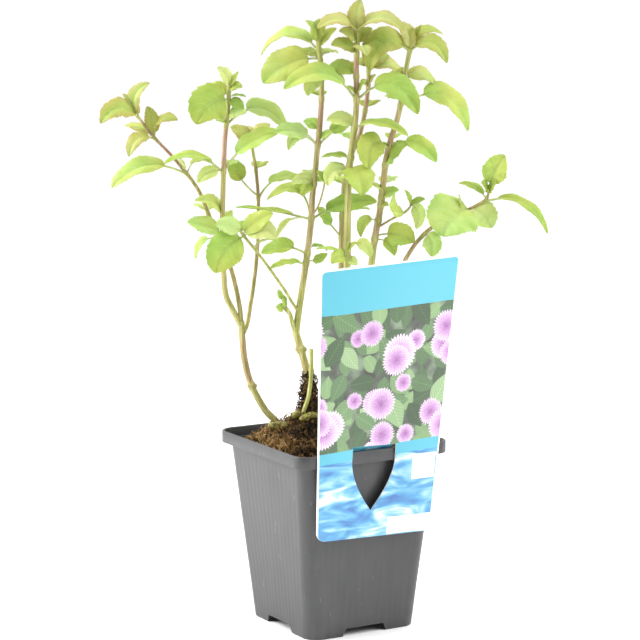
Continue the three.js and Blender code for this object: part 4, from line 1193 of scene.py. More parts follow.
CENTRE_LEFT_STEM = [
    {
        "thick": (2.3, 1.8),
        "brown": [(98, 0.35), (140, 0.45), (155, 0.15)],
        "scars": [144],
        "route": [
            (-13, 2, STEM_FOOT_Z), (-13, 2, 98), (-12.5, 2, 112), (-12.5, 2, 122), (-13.5, 2, 132),
            (-16, 3, 142), (-18.7, 4, 151), (-19.5, 4, 155),
        ],
        "leaves": [],
    },
    {
        "thick": (1.8, 1.15),
        "brown": [
            (152, 0.05), (172, 0.15), (188, 0.45), (225, 0.6), (248, 0.45),
            (254, 1), (274, 0.95), (281, 0.2), (300, 0.1),
        ],
        "bronze": 0.4,
        "route": [
            (-19.3, 4, 152), (-18.6, 4, 158), (-17.8, 4, 164), (-16.3, 4, 174), (-14.6, 4, 185),
            (-12.8, 4, 198), (-11.2, 4, 212), (-10.6, 4, 224), (-9.2, 4, 236), (-8, 4, 249),
            (-6.6, 4, 262), (-5.8, 4, 276), (-6, 4, 290), (-7, 4, 300), (-7.5, 4, 305),
        ],
        "leaves": [
            (189.5, -18.5, -8, -2, 7, 0.1, 15, 0.15), (191, 11, -4, 4, 6, -0.1, 50, 0.3),
            (194.5, -24, 9, -1, 11, 0.15, 40, 0.3), (197.5, 10, 3, -2, 5, 0.2, 15, 0.2),
            (213, -39, -3, 6, 9, 0.03, 5, 0.25), (213, -23, 7, 9, 9, 0.45, 30, 0.3),
            (213, -18, -6, -10, 4.5, 0.25, 20, 0.45), (213, 34, 6, 8, 14, 0.08, 30, 0.25),
            (232, -11.5, -3, -1, 7, 0.2, 50, 0.1), (231, -6, -5, -6, 6, 0.2, 60, 0.1),
            (232, 6.5, 3, -1, 6, 0.2, 20, 0.1), (233, -4, 13, 3, 9, 0.15, 0, 0.15),
            (251, -22, -5, 7, 12, 0.15, 40, 0.3), (251, -15, -4, -2, 9, 0.5, 45, 0.3),
            (251, 19, 3, 14, 9, 0.05, 45, 0.4), (252, 8, -3, 6, 5, 0.15, 50, 0.3),
            (257, -8, 6, 6, 7, 0.2, 40, 0.2), (287, -7, -4, -10, 8, 0.15, 60, 0.1),
            (285, 10, 8, -2, 8, 0.2, 0, 0.2), (275, -5, 13, 2, 10, 0.15, 0, 0.15),
            (296, -29, -5, -12.5, 18, 0.12, 60, 0.18), (295, -11, 5, 4, 7, 0.15, 30, 0.2),
            (296, 9, 9, 2, 8, 0.2, 10, 0.2), (300, -30, 10, -3, 10, 0.32, 30, 0.12),
            (300, 9, 2, 11, 6, 0.15, 40, 0.15), (304, -6.5, -1, 11, 6, 0.15, 50, 0.08),
            (304, 1, 0, 12, 7, 0.1, 75, 0.08), (304, 3.5, 2, 12, 6, 0.1, 50, 0.08),
        ],
    },
    {
        "thick": (1.4, 1.1),
        "brown": [(153, 0.1), (166, 0.1)],
        "route": [
            (-19.5, 4, 153), (-21, 3, 158), (-22.5, 3, 163), (-25, 3, 166.5),
        ],
        "leaves": [
            (166, -5, -2, 1, 5, 0, 80, 0.2), (166, -1, -1, 7, 5, 0, 70, 0.1),
            (166, -4, -1, 10, 4, 0, 60, 0.5),
        ],
    },
    {
        "thick": (0.85, 0.7),
        "brown": [(164, 0.1), (205, 0.05)],
        "bronze": 0.05,
        "route": [
            (-17.8, 4, 164), (-21, 2, 169), (-25, 0, 176), (-31, -2, 185), (-37, -3, 193.5),
            (-42, -4, 200), (-46, -5, 205), (-48, -5, 208),
        ],
        "leaves": [
            (199, 12, 3, 3, 5, 0.15, -20, 0.2), (205, -14.5, -5, -18.5, 19, 0.12, 65, 0.08),
            (205, 17, -5, -1, 12, 0.25, 60, 0.08), (206, 16, -3, 11, 11, 0.05, 60, 0.08),
            (207, -13, -3, 4, 11, 0.1, 55, 0.08), (207, 4, 12, 4, 9, 0.1, 0, 0.1),
        ],
    },
    {
        "thick": (0.55, 0.45),
        "brown": [(214, 0.5), (234, 0.2)],
        "route": [
            (-11, 4, 214), (-7.5, 1, 220), (-5, 0, 228), (-4, 0, 234),
        ],
        "leaves": [
            (232, -4, -1, 6, 5, 0.1, 50, 0.1), (232.5, 2, 4, 6, 5, 0.1, 40, 0.1),
        ],
    },
]

CUT_STEM = [
    {
        "thick": (1.1, 1.05),
        "brown": [(98, 0.1), (146, 0)],
        "scars": [134.5],
        "route": [
            (-16, -6, STEM_FOOT_Z), (-16, -6, 98), (-16, -6, 106), (-15.2, -6, 113),
            (-13, -6, 119.5), (-11.8, -6, 127), (-11.2, -6, 135), (-11.2, -6, 146),
        ],
        "leaves": [],
    },
]

CENTRE_STEM = [
    {
        "thick": (2.2, 1.2),
        "brown": [(100, 0.1), (200, 0.15), (268, 0.3), (276, 0.6), (280, 1), (297, 0.9), (303, 0.1)],
        "bronze": 0.85,
        "route": [
            (6, -6, STEM_FOOT_Z), (6, -6, 100), (6.5, -6, 130), (7, -5, 160), (7.4, -4, 190),
            (7.6, -3, 215), (8.2, -2, 235), (9.8, -2, 250), (11.6, -2, 265), (12.2, -2, 276),
            (12, -2, 290), (12.3, -2, 302), (12.3, -2, 311),
        ],
        "leaves": [
            (194, -8, -5, -3, 8, 0.2, 60, 0.1), (195, -16, -4, 3.5, 3.5, 0.1, 20, 0.3),
            (196, 5, -4, 6, 4, 0.1, 50, 0.1), (193, 5, -4, -3, 5, 0.1, 50, 0.1),
            (199, 12, -4, -5, 7, 0.35, 50, 0.3), (240, 6, -10, -13, 17, 0.25, 10, 0.1),
            (238, -11, -3, -7, 10, 0.35, 45, 0.1), (245, -15, 3, 0, 6, 0.1, 20, 0.15),
            (261, 27, -9, -4, 9, 0.15, 20, 0.1), (260, -14, 5, 4, 10, 0.2, 40, 0.15),
            (275, -37, -11, 6, 13, 0.28, 40, 0.2), (287, -15, 4, 3, 10, 0.2, 45, 0.1),
            (275, 31, -12, -6.5, 14, 0.35, 50, 0.25), (277, -5, -4, 5, 4, 0.1, 50, 0.1),
            (277, 5, -3, 8, 5, 0.1, 50, 0.1), (298, -13, -5, 5, 9, 0.2, 50, 0.1),
            (300, 5, -12, -2, 9, 0.25, 0, 0.1), (303, 8, 4, 8, 7, 0.15, 50, 0.1),
            (303, -9, -4, 7, 8, 0.2, 50, 0.1), (310, -20, -6, 1.5, 10, 0.25, 35, 0.1),
            (310, 24, -6, 0, 10, 0.28, 35, 0.1), (310, 2, 0, 16, 9.5, 0.08, 80, 0.05),
            (310, -1, 5, 12, 8, 0.1, 0, 0.05), (309, -4, -5, 4, 6, 0.1, 30, 0.05),
            (309, 4, -5, 4, 6, 0.1, 30, 0.05),
        ],
    },
]

BACK_STEM = [
    {
        "thick": (2.0, 1.0),
        "brown": [(100, 0.4), (200, 0.55), (225, 0.35), (240, 0.8), (262, 0.75), (281, 1), (288, 0.2)],
        "bronze": 1.0,
        "route": [
            (3, 14, STEM_FOOT_Z), (3, 14, 100), (3.5, 14, 130), (4.2, 14, 160), (4.6, 14, 190),
            (5, 14, 212), (6.5, 14, 230), (9.5, 14, 245), (13.5, 14, 254), (16.6, 14, 267),
            (18.3, 14, 280), (18.6, 14, 292),
        ],
        "leaves": [
            (202, -13, -5, 16, 9, 0, 50, 0.45), (214, 14, -4, 3, 8, 0.1, 0, 0.2),
            (213, -7, 12, 4, 10, 0.15, 0, 0.15), (228, -7, 13, 3, 10, 0.15, 0, 0.2),
            (250, -8, 10, 5, 9, 0.2, 0, 0.2), (268, 6, 13, 3, 11, 0.2, 0, 0.15),
            (250, 8, 10, 3, 9, 0.2, 0, 0.2), (281, 4, -2, 6, 4, 0.1, 50, 0.1),
            (281, -4, -2, 3, 4, 0.1, 50, 0.1), (290, 11, 7, 6, 8, 0.15, 45, 0.1),
            (289, 19, 9, -4, 9, 0.25, 40, 0.1), (290, -9, 9, 2, 8, 0.2, 20, 0.1),
            (291, 4, -2, 9, 7, 0.1, 60, 0.05), (291, -2, 5, 9, 6, 0.1, 20, 0.05),
        ],
    },
]

RIGHT_STEM = [
    {
        "thick": (2.0, 1.15),
        "brown": [
            (100, 0.1), (195, 0.15), (205, 0.7), (228, 0.55), (238, 0.5),
            (252, 1), (262, 0.6), (272, 0.5), (276, 1), (286, 0.8), (290, 0.1),
        ],
        "bronze": 0.7,
        "route": [
            (17, 6, STEM_FOOT_Z), (17, 6, 100), (18, 6, 130), (19, 6, 160), (20.2, 6, 188),
            (22, 5, 203), (24.3, 4, 216), (26, 3, 230), (27.4, 2, 243), (29.6, 2, 253),
            (33, 2, 264), (35.3, 2, 274), (36.7, 2, 284), (38.3, 2, 294), (39.8, 2, 301),
        ],
        "leaves": [
            (212, -9, -5, -8, 6, 0.4, 45, 0.2), (204, 20, -5, -3, 14, 0.12, 55, 0.3),
            (202, 10, -4, -8, 7, 0.25, 50, 0.3), (228, -6, -3, 3, 4, 0.1, 40, 0.1),
            (224, 9, -3, 4, 7, 0.1, 50, 0.1), (220, 4, -3, 0, 4, 0.1, 40, 0.1),
            (229, 6, 13, 4, 10, 0.15, 0, 0.2), (252, -11, -9.5, -12, 15, 0.4, 50, 0.2),
            (241, 11, -7, 11, 13, 0.1, 50, 0.05), (252, 23.5, -10, -8.5, 10, 0.2, 45, 0.3),
            (250, -4, -2, 2, 4, 0.1, 40, 0.1), (252, 5, 12, 3, 9, 0.2, 0, 0.2),
            (272, 35, 8, -14, 15, 0.33, 50, 0.25), (273, -8, 7, 3, 8, 0.2, 20, 0.2),
            (273, 8, -3, 5, 4.5, 0.1, 40, 0.15), (285, 17, 9, -5, 10, 0.25, 45, 0.1),
            (286, 3, 13, 2, 9, 0.15, 0, 0.15), (287, -9, 6, -1, 8, 0.25, 20, 0.1),
            (300, -20.5, -5, -10, 16, 0.45, 50, 0.1), (300, -7, 2, 14, 8, 0.2, 60, 0.1),
            (300, 18.5, -9, -6, 10, 0.35, 45, 0.12), (300, 17, 9, 8, 7, 0.3, 35, 0.1),
            (300, 2, -0.5, 11, 8, 0.1, 75, 0.05), (300, 6, 1, 13, 4, 0.05, 50, 0.05),
        ],
    },
    {
        "thick": (0.6, 0.5),
        "brown": [(208, 0.6), (221, 0.3)],
        "bronze": 0.1,
        "route": [
            (23, 5, 208), (31, 3, 213), (38, 2, 217), (41, 1, 221),
        ],
        "leaves": [
            (217, -6.5, -4, 10, 9, -0.4, 55, 0.1), (220.5, 2.5, -4, -12, 8, 0.4, 60, 0.1),
            (220.5, 7, -2, 3, 4.5, 0.1, 50, 0.1), (220, -3, -1, 8, 4, 0.1, 50, 0.1),
        ],
    },
]

OUTER_RIGHT_STEM = [
    {
        "thick": (1.4, 0.7),
        "brown": [(100, 0.2), (180, 0.5), (205, 0.75), (220, 0.6), (227, 0.2)],
        "route": [
            (28, -4, STEM_FOOT_Z), (28, -4, 100), (29, -4, 130), (31, -3, 160), (35, -2, 185),
            (42, 0, 199), (52, 2, 209), (60, 2, 213.5), (66, 1, 216), (73, 0, 219.5), (79, 0, 223),
            (80.7, 0, 227),
        ],
        "leaves": [
            (205, 3, -4, -11, 11, 0.3, 55, 0.1), (212, 5, 13, 3, 10, 0.15, 0, 0.15),
            (218.3, -14, -10, -13, 30, 0.15, 35, 0.05), (219, 10, -4, -10, 16, 0.1, 50, 0.05),
            (216, -1, -2, 10, 6, 0.05, 70, 0.15), (226.5, 8, -2, 20, 14, 0.05, 75, 0.25),
            (226.5, 4, -5, 6, 9, 0.1, 60, 0.2), (226.5, -4, -4, 6, 8, 0.1, 60, 0.2),
            (224, -14, 6, 7, 5.5, 0.15, 25, 0.15), (223, 31, -12, -16, 9, 0.22, 15, 0.15),
        ],
    },
]

LEAFY_STEMS = {
    "left_leafy_stems": LEFT_STEM,
    "centre_left_leafy_stem": CENTRE_LEFT_STEM,
    "cut_stem": CUT_STEM,
    "centre_leafy_stem": CENTRE_STEM,
    "back_leafy_stem": BACK_STEM,
    "right_leafy_stem": RIGHT_STEM,
    "outer_right_leafy_stem": OUTER_RIGHT_STEM,
}
leaf_count = sum(len(shoot["leaves"]) for shoots in LEAFY_STEMS.values() for shoot in shoots)
print("The plant has", len(LEAFY_STEMS), "stems and", leaf_count, "leaves")

# %% [markdown]
# ## Stems
# A mint stem is square with soft corners and swells into a ring wherever a pair of leaves leaves
# it. It is drawn as a curve with a square section: the section's four corner points get short
# handles, which keeps the corners round. The curve's radius narrows from foot to tip and swells
# at each ring, so one operator, convert, turns the whole shoot into a mesh.

# %% A square section
SECTION_SOFTNESS = 0.5
bpy.ops.curve.primitive_bezier_circle_add(radius=1)
square_section = named("square_section")
for knot in square_section.data.splines[0].bezier_points:
    for handle in ("handle_left", "handle_right"):
        setattr(knot, handle + "_type", "FREE")
        setattr(knot, handle, knot.co.lerp(getattr(knot, handle), SECTION_SOFTNESS))
square_section.data.resolution_u = square_section.data.render_resolution_u = 4


# %% Places on a shoot
RING_GAP = 3.5


def point_at_height(route, z):
    """The point on a route's straight pieces at a height, where a leaf has its root."""
    k = 1
    while k < len(route) - 1 and route[k][2] < z:
        k += 1
    low, high = Vector(route[k - 1]), Vector(route[k])
    return low.lerp(high, min(1, (z - low.z) / (high.z - low.z)))


def rings_of(shoot):
    """Heights of the rings where leaves leave a shoot or have left it, each pair counted once."""
    heights = []
    for z in sorted([leaf[0] for leaf in shoot["leaves"]] + shoot.get("scars", [])):
        if not heights or z - heights[-1] > RING_GAP:
            heights.append(z)
    return heights


def bell(off, reach=1.0):
    """A soft bump: 1 at its middle, and next to nothing two reaches away."""
    return math.exp(-((off / reach) ** 2))


# %% [markdown]
# How brown each place on a stem is goes into an attribute of the mesh, which the stem's material
# reads. The rings stay green. Where leaves have fallen, two blunt brown stumps are left.

# %% Rings, scars and stumps
RING_SWELL, RING_REACH = 0.24, 1.5
RING_GREEN, RING_GREEN_REACH = 0.6, 2.2
SCAR_SWELL, STUMP_BROWN = 0.2, 0.45
STUMP_REACH, STUMP_RADII = (1.3, -0.3, 0.25), (0.7, 0.5, 0.25)


def brownness(shoot, z):
    """How brown a shoot is at a height, from 0, green, to 1."""
    brown = float(np.interp(z, *zip(*shoot["brown"])))
    for ring in rings_of(shoot):
        brown *= 1 - RING_GREEN * bell(z - ring, RING_GREEN_REACH)
    return brown


def shoot_line(shoot):
    """A shoot's smooth line and its radius at each point, with a swelling at each ring."""
    line, shares = smooth_line(shoot["route"])
    foot, tip = shoot["thick"]
    radii = []
    for point, share in zip(line, shares):
        ring = min(1, sum(bell(point.z - height, RING_REACH) for height in rings_of(shoot)))
        scar = sum(bell(point.z - height) for height in shoot.get("scars", []))
        radii.append((foot + (tip - foot) * share) * (1 + RING_SWELL * ring + SCAR_SWELL * scar))
    return line, radii


def scar_lines(shoot):
    """Two short stumps at each height where a pair of leaves has fallen."""
    stumps = []
    thick = shoot["thick"][0]
    for height in shoot.get("scars", []):
        foot = point_at_height(shoot["route"], height)
        for side in (-1, 1):
            reach = thick * Vector(STUMP_REACH)
            reach.x *= side
            radii = [share * thick for share in STUMP_RADII]
            stumps.append(([foot, foot + 0.9 * reach, foot + reach], radii))
    return stumps


# %% The stems
stem_pieces = {}
for node, shoots in LEAFY_STEMS.items():
    lines = [shoot_line(shoot) for shoot in shoots]
    stumps = [stump for shoot in shoots for stump in scar_lines(shoot)]
    piece = tubes(node.replace("leafy_", "") + "_bare", lines + stumps, section=square_section)
    marks = []
    for shoot, (line, _) in zip(shoots, lines):
        marks += [(point, brownness(shoot, point.z)) for point in line]
    marks += [(point, STUMP_BROWN) for stump, _ in stumps for point in stump[1:]]
    nearest = kdtree.KDTree(len(marks))
    for k, (point, _) in enumerate(marks):
        nearest.insert(point, k)
    nearest.balance()
    near = [nearest.find(corner.co)[1] for corner in piece.data.vertices]
    write_attribute(piece.data, "brown", [marks[k][1] for k in near])
    stem_pieces[node] = piece
bpy.data.objects.remove(square_section)
print("Stems:", ", ".join(piece.name for piece in stem_pieces.values()))


# %% [markdown]
# ### Down
# A mint stem is downy: short pale hairs stand out from it and lean back towards its foot. One
# hair is a three-sided spike, and copies of it are scattered evenly over each stem's skin.

# %% Hairs
HAIRS_PER_SQUARE_MM = 0.22
HAIR_RADIUS, HAIR_LEAN, HAIR_STRAY = 0.04, 0.4, 0.3
SHORTEST_HAIR, LONGEST_HAIR = 0.5, 1.0

bpy.ops.mesh.primitive_cone_add(vertices=3, radius1=HAIR_RADIUS, radius2=0, depth=1, location=(0, 0, 0.5))
hair = named("hair")
bpy.ops.object.transform_apply(location=True)
dice = random.Random(23)
hair_pieces = {}
for node, piece in stem_pieces.items():
    faces = piece.data.polygons
    areas = [face.area for face in faces]
    places = []
    for face in dice.choices(faces, weights=areas, k=int(HAIRS_PER_SQUARE_MM * sum(areas))):
        corner = piece.data.vertices[dice.choice(face.vertices)].co
        spot = face.center.lerp(corner, dice.uniform(0, 0.9))
        stray = Vector([dice.uniform(-1, 1) for _ in "xyz"])
        outward = face.normal + HAIR_STRAY * stray - Vector((0, 0, HAIR_LEAN))
        aim = outward.to_track_quat("Z", "Y").to_matrix().to_4x4()
        long = dice.uniform(SHORTEST_HAIR, LONGEST_HAIR)
        places.append(Matrix.Translation(spot) @ aim @ Matrix.Diagonal((1, 1, long, 1)))
    hair_pieces[node] = copies(node + "_hairs", hair, places, [0.5] * len(places))
bpy.data.objects.remove(hair)


# %% [markdown]
# ## Leaves
# A mint leaf is egg-shaped and saw-toothed, with the teeth pointing forward. One flat blade is
# modelled for each size of leaf: a grid, whose rows are resized across to the leaf's outline.
# The blade swells a little between its side veins, which real mint does too, so that swelling is
# in the mesh and not only in the material. Each copy is then laid along its own arched rib.

# %% A blade's outline
ROWS_PER_TOOTH = 5
TOOTH_PEAK, TOOTH_MIDDLE, TOOTH_LEAN = 0.8, 0.6, 0.35
VEIN_LEAN, VEIN_BEND = 0.34, 1.3
SWELL_BETWEEN_VEINS = 0.022
BLADE_ENDS, ROUND_BASE = 0.04, 0.45


def blade_width(s, point):
    """A blade's width along it, 0 at its base and 1 at its tip, as a share of its widest.

    A larger point draws the tip out sharper.
    """
    widest = ROUND_BASE / (ROUND_BASE + point)
    full = widest**ROUND_BASE * (1 - widest) ** point
    return max(BLADE_ENDS, s**ROUND_BASE * (1 - s) ** point / full)


def tooth_rise(s, teeth):
    """How far out the edge is between the notch before a tooth, 0, and its point, 1."""
    phase = (s * teeth) % 1
    return phase / TOOTH_PEAK if phase < TOOTH_PEAK else (1 - phase) / (1 - TOOTH_PEAK)


# %% Flat blades
def flat_blade(name, teeth, tooth_depth, columns, side_veins, point):
    """A toothed blade one unit long and one wide, with its rib along x."""
    rows = teeth * ROWS_PER_TOOTH
    bpy.ops.mesh.primitive_grid_add(x_subdivisions=rows, y_subdivisions=2 * columns, size=1)
    blade = named(name)
    blade.location.x = 0.5
    bpy.ops.object.transform_apply(location=True)
    swells = []
    for corner in blade.data.vertices:
        across = abs(2 * corner.co.y)
        phase = (corner.co.x - VEIN_LEAN * across**VEIN_BEND) * side_veins
        swells.append(SWELL_BETWEEN_VEINS * abs(math.sin(math.pi * phase)) * math.sin(math.pi * across))
    with edit_mode():
        for row in range(rows + 1):
            s = row / rows
            toothed = min(1, 6 * s, 6 * (1 - s)) * tooth_depth
            width = blade_width(s, point) * (1 + toothed * (tooth_rise(s, teeth) - TOOTH_MIDDLE))
            pick("VERT", lambda corner: abs(corner.co.x - s) < 0.2 / rows)
            bpy.ops.transform.resize(value=(1, width, 1), center_override=(s, 0, 0))
    for corner, swell in zip(blade.data.vertices, swells):
        s = kept_between(0, 1, corner.co.x)
        edge = min(1, abs(2 * corner.co.y) / blade_width(s, point))
        corner.co.x += TOOTH_LEAN / rows * tooth_rise(s, teeth) * edge**3 * min(1, 8 * (1 - s))
        corner.co.z = swell
    print(f"{name}: {teeth} teeth on each side")
    return blade


BLADES = [
    (22, flat_blade("large_blade", 10, 0.06, 6, 6, 0.64)),
    (12, flat_blade("middle_blade", 7, 0.085, 5, 5, 0.72)),
    (0, flat_blade("young_blade", 4, 0.12, 4, 4, 0.78)),
]

# %% [markdown]
# A leaf's rib is a parabola from its root to its tip. At each place on the rib, the blade's own
# axes are the way along it, the way across and its upper face's normal, and a copy of the flat
# blade is carried into them point by point. The two halves stand up a little from the rib, and
# the edge waves, a bit differently in each leaf, from seeded dice.

# %% A leaf's rib
UP = Vector((0, 0, 1))


class Rib:
    """The arched line of one leaf, with the axes of its blade at each place from 0 to 1."""

    def __init__(self, root, leaf):
        _, x, y, z, self.width, arch, roll, self.stalk = leaf
        reach = Vector((x, y, z))
        self.root, self.reach, self.length = root, reach, reach.length
        self.heading = Vector((x, y, 0)).normalized()
        self.side = self.heading.cross(UP) * (-1 if x < 0 else 1)
        rise = math.atan2(z, math.hypot(x, y))
        self.rise = (UP * math.cos(rise) - self.heading * math.sin(rise)) * (4 * arch * self.length)
        self.roll = math.radians(roll)

    def at(self, t):
        """The point on the rib at a place from 0, its root, to 1, its tip."""
        return self.root + self.reach * t + self.rise * (t * (1 - t))

    def axes(self, t, twist=0.0):
        """The way along the rib, the way across the blade and the upper face's normal."""
        along = (self.reach + self.rise * (1 - 2 * t)).normalized()
        slope = math.atan2(along.z, along.dot(self.heading))
        skyward = UP * math.cos(slope) - self.heading * math.sin(slope)
        turn = self.roll + twist * (t - 0.5)
        normal = (skyward * math.cos(turn) + self.side * math.sin(turn)).normalized()
        return along, normal.cross(along), normal


# %% Laying a leaf along its rib
FOLD, YOUNG_FOLD, OLD_LENGTH = 0.16, 0.10, 18
EDGE_WAVE, HALF_CROWN, MOST_TWIST = 0.10, 0.035, 10


def lay_blade(rib, youth, dice):
    """A copy of the right flat blade, carried on to a rib."""
    size = max(rib.length, rib.width)
    blade = copy_of(next(model for least, model in BLADES if size > least))
    fold = FOLD if rib.length >= OLD_LENGTH else YOUNG_FOLD
    twist = math.radians(dice.uniform(-MOST_TWIST, MOST_TWIST))
    waves, phases = dice.uniform(1.6, 2.8), (dice.uniform(0, 6.28), dice.uniform(0, 6.28))
    places = []
    for s, y, swell in points_of(blade.data):
        t = rib.stalk + (1 - rib.stalk) * s
        along, across, normal = rib.axes(t, twist)
        out = abs(y) * rib.width
        edge = min(1, 2 * abs(y))
        wave = EDGE_WAVE * out * edge * math.sin(2 * math.pi * waves * s + phases[y > 0])
        crown = HALF_CROWN * rib.width * math.sin(math.pi * edge)
        height = out * fold + wave + crown + swell * rib.width
        places.append(rib.at(t) + across * (y * rib.width) + normal * height)
    blade.data.vertices.foreach_set("co", np.array(places, dtype=np.float32).ravel())
    blade.data.update()
    write_attribute(blade.data, "youth", [youth] * len(places))
    write_attribute(blade.data, "shade", [dice.random()] * len(places))
    return blade


# %% Stalks and midribs
STALK_STEPS = 14
RIB_END = 0.9
THINNEST_STALK, THICKEST_STALK = 0.2, 0.58


def rib_line(rib):
    """The stalk and midrib as one tapering tube, just under the blade."""
    thick = kept_between(THINNEST_STALK, THICKEST_STALK, 0.14 + 0.016 * rib.length)
    points, radii = [], []
    for step in range(STALK_STEPS + 1):
        t = RIB_END * step / STALK_STEPS
        on_blade = max(0, (t - rib.stalk) / (RIB_END - rib.stalk))
        radius = thick * (1.25 - 0.25 * min(1, 6 * t)) * (1 - 0.82 * on_blade**0.7)
        points.append(rib.at(t) - rib.axes(t)[2] * (0.75 * radius))
        radii.append(radius)
    return points, radii


# %% All the leaves, one piece for each stem
YOUNG_BELOW_TIP, TIP_YOUTH = 34, 1.25

leaf_pieces, rib_pieces = {}, {}
dice = random.Random(11)
for node, shoots in LEAFY_STEMS.items():
    blades, ribs = [], []
    for shoot in shoots:
        tip = shoot["route"][-1][2]
        for leaf in shoot["leaves"]:
            rib = Rib(point_at_height(shoot["route"], leaf[0]), leaf)
            youth = kept_between(0, 1, TIP_YOUTH - (tip - leaf[0]) / YOUNG_BELOW_TIP)
            blades.append(lay_blade(rib, youth * shoot.get("bronze", 0), dice))
            ribs.append(rib_line(rib))
    if blades:
        name = node.replace("leafy_", "").replace("stems", "stem") + "_leaves"
        leaf_pieces[node] = join(name, *blades)
        rib_pieces[node] = tubes(name + "_ribs", ribs, resolution=1)
        print(f"{name}: {len(ribs)} leaves")
for _, model in BLADES:
    bpy.data.objects.remove(model)


# %% [markdown]
# ### Leaf and stem
# A mint leaf is thin and full of water: about a third of the light goes through it and comes out
# yellower. So its material mixes an ordinary surface with a translucent one. Colours follow the
# leaf's own map, in which u runs along the rib and v across: the midrib and the side veins are
# pale lines, the youngest leaves bronze towards their edges, and every leaf has its own shade.

# %% Veins
SIDE_VEINS = 6
VEIN_SHARPNESS, RIB_SHARPNESS = 9.0, 2.2


def vein_lines(add):
    """Pale lines on a leaf's own map: 1 on the midrib and on the side veins, 0 between them."""
    on_leaf = add("SeparateXYZ", add("TexCoord").outputs["UV"]).outputs
    off_rib = add("Math", on_leaf["Y"], 2.0, -1.0, operation="MULTIPLY_ADD")
    across = add("Math", off_rib, operation="ABSOLUTE")
    bend = add("Math", across, VEIN_BEND, operation="POWER")
    start = add("Math", bend, -VEIN_LEAN, on_leaf["X"], operation="MULTIPLY_ADD")
    off_vein = add("Math", add("Math", start, SIDE_VEINS, operation="MULTIPLY"), 0.5, operation="PINGPONG")
    side = add("Math", off_vein, -VEIN_SHARPNESS, 1.0, operation="MULTIPLY_ADD", use_clamp=True)
    fade = add("Math", across, -0.85, 1.0, operation="MULTIPLY_ADD")
    faded = add("Math", side, fade, operation="MULTIPLY")
    narrow = -RIB_SHARPNESS * VEIN_SHARPNESS
    rib = add("Math", across, narrow, 1.0, operation="MULTIPLY_ADD", use_clamp=True)
    return add("Math", faded, rib, operation="MAXIMUM"), across


# %% Mint leaf
HUE_DRIFT = 0.03
LEAF_CELL = 1.5
SHINING_THROUGH = 0.38


def leaf_material(name, greens, vein_green, bronze, through, roughness, vein_depth):
    """One face of the leaf. greens are its shades from dark to light, and through is its glow."""
    material, add, shader, place = start_material(
        name, Roughness=roughness, IOR=1.42, Specular_IOR_Level=0.35
    )
    lines, across = vein_lines(add)
    shade, youth = (add("Attribute", attribute_name=own).outputs["Fac"] for own in ("shade", "youth"))
    tone = add("Mix", 0.5, add("TexNoise", place, Scale=every(9), Detail=4.0), shade)
    green = add("ValToRGB", tone, stops=zip((0.25, 0.5, 0.72), greens))
    drift = add("TexNoise", place, Scale=every(24), Detail=1.0)
    drift = add("MapRange", drift, 0.36, 0.64, 0.5 - HUE_DRIFT, 0.5 + HUE_DRIFT / 2)
    green = add("HueSaturation", Hue=drift, Color=green)
    margin = add("Math", across, 1.6, operation="POWER")
    margin = add("Math", margin, 0.6, 0.25, operation="MULTIPLY_ADD")
    net = add("TexVoronoi", place, Scale=every(LEAF_CELL), feature="DISTANCE_TO_EDGE")
    cells = add("MapRange", net, From_Max=0.16)
    for share, colour in (
        (add("Math", youth, margin, operation="MULTIPLY"), bronze),
        (add("Math", lines, 0.38, operation="MULTIPLY"), vein_green),
        (add("Math", cells, -0.12, 0.12, operation="MULTIPLY_ADD"), greens[0]),
    ):
        green = add("Mix", share, green, colour, data_type="RGBA")
    puffed = add("Math", cells, 0.3, operation="MULTIPLY")
    relief = add("Math", lines, math.copysign(1, -vein_depth), puffed, operation="MULTIPLY_ADD")
    relief = add("Bump", Height=relief, Distance=abs(vein_depth) * MM)
    feed(shader, Base_Color=green, Normal=relief)
    glow = add("BsdfTranslucent", add("Mix", 0.45, green, through, data_type="RGBA"))
    output = material.node_tree.nodes["Material Output"]
    feed(output, add("MixShader", SHINING_THROUGH, shader, glow))
    return material


UPPER_GREENS, LOWER_GREENS = ("9CB850", "B8D26C", "CADC92"), ("B0CA82", "BED692", "CEE0B2")
leaf_upper = leaf_material(
    "mint_leaf_upper_face", UPPER_GREENS, "D8E8B0", "B49C5C", "ECF0AE", 0.42, vein_depth=0.12
)
leaf_lower = leaf_material(
    "mint_leaf_lower_face", LOWER_GREENS, "D6E8B8", "C0AA80", "ECF2B6", 0.62, vein_depth=-0.14
)

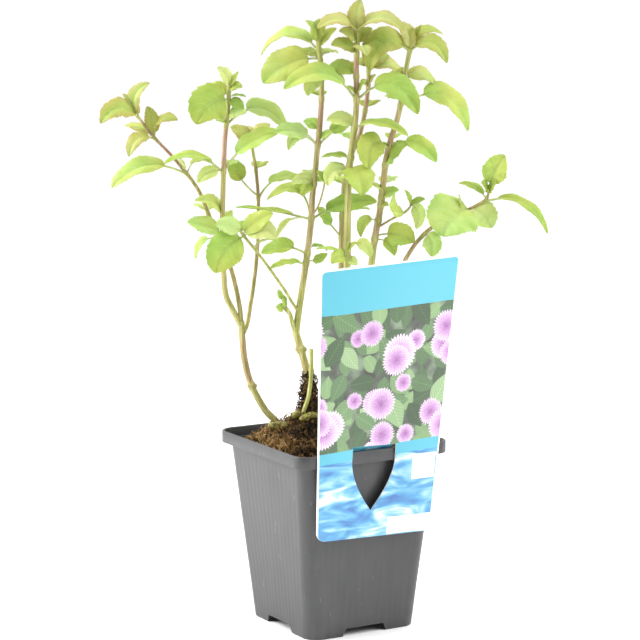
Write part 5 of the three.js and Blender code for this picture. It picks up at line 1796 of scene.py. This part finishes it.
# %% Mint stem
stem_skin, add, shader, place = start_material(
    "mint_stem", Roughness=0.48, IOR=1.42, Specular_IOR_Level=0.4
)
streaks = add("TexNoise", add("Mapping", place, Scale=every_xyz(1.3, 16)), Scale=1.0, Detail=3.0)
brown = add("Attribute", attribute_name="brown").outputs["Fac"]
green = add("ValToRGB", streaks, stops=[(0.3, "848A40"), (0.55, "A4A85A"), (0.75, "C4C684")])
ripe = add("ValToRGB", streaks, stops=[(0.3, "7E5648"), (0.55, "A27C68"), (0.75, "C8AC90")])
patches = add("Math", streaks, 2.2, -0.15, operation="MULTIPLY_ADD")
patches = add("Math", patches, 0.35, operation="MAXIMUM")
share = add("Math", brown, patches, operation="MULTIPLY", use_clamp=True)
ridges = add("TexNoise", add("Mapping", place, Scale=every_xyz(0.35, 5)), Scale=1.0, Detail=2.0)
colour = add("Mix", share, green, ripe, data_type="RGBA")
feed(shader, Base_Color=colour, Normal=add("Bump", Height=ridges, Distance=0.08 * MM))

# %% Leaf stalk and down
stalk_greens = [(0.35, "98A45C"), (0.55, "B2BC7C"), (0.75, "C4CA96")]
leaf_rib = mottled_material("mint_leaf_stalk", 6, 2.0, stalk_greens, Roughness=0.5, IOR=1.42)
down = mottled_material("mint_down", 4, 1.0, [(0.35, "D4DCB4"), (0.65, "E6E9D4")], Roughness=0.6)

# %% [markdown]
# A blade gets its thickness last. Solidify makes the new underside with the next material, so a
# leaf has a glossier upper face and a pale, dull lower one, as mint has.

# %% Dressing the plant
BLADE_THICK = 0.34

for node, piece in stem_pieces.items():
    hairs = hair_pieces[node]
    piece.data.materials.append(stem_skin)
    hairs.data.materials.append(down)
    piece = join(piece.name, piece, hairs)
    settle(piece, PLANT_TURN)
    finish_piece(piece, "stem", node, angle=50)
for node, piece in leaf_pieces.items():
    ribs = rib_pieces[node]
    for material in (leaf_upper, leaf_lower):
        piece.data.materials.append(material)
    ribs.data.materials.append(leaf_rib)
    modify(piece, "SOLIDIFY", thickness=BLADE_THICK, offset=0, material_offset=1)
    piece = join(piece.name, piece, ribs)
    settle(piece, PLANT_TURN)
    finish_piece(piece, "leaf", node, angle=60)
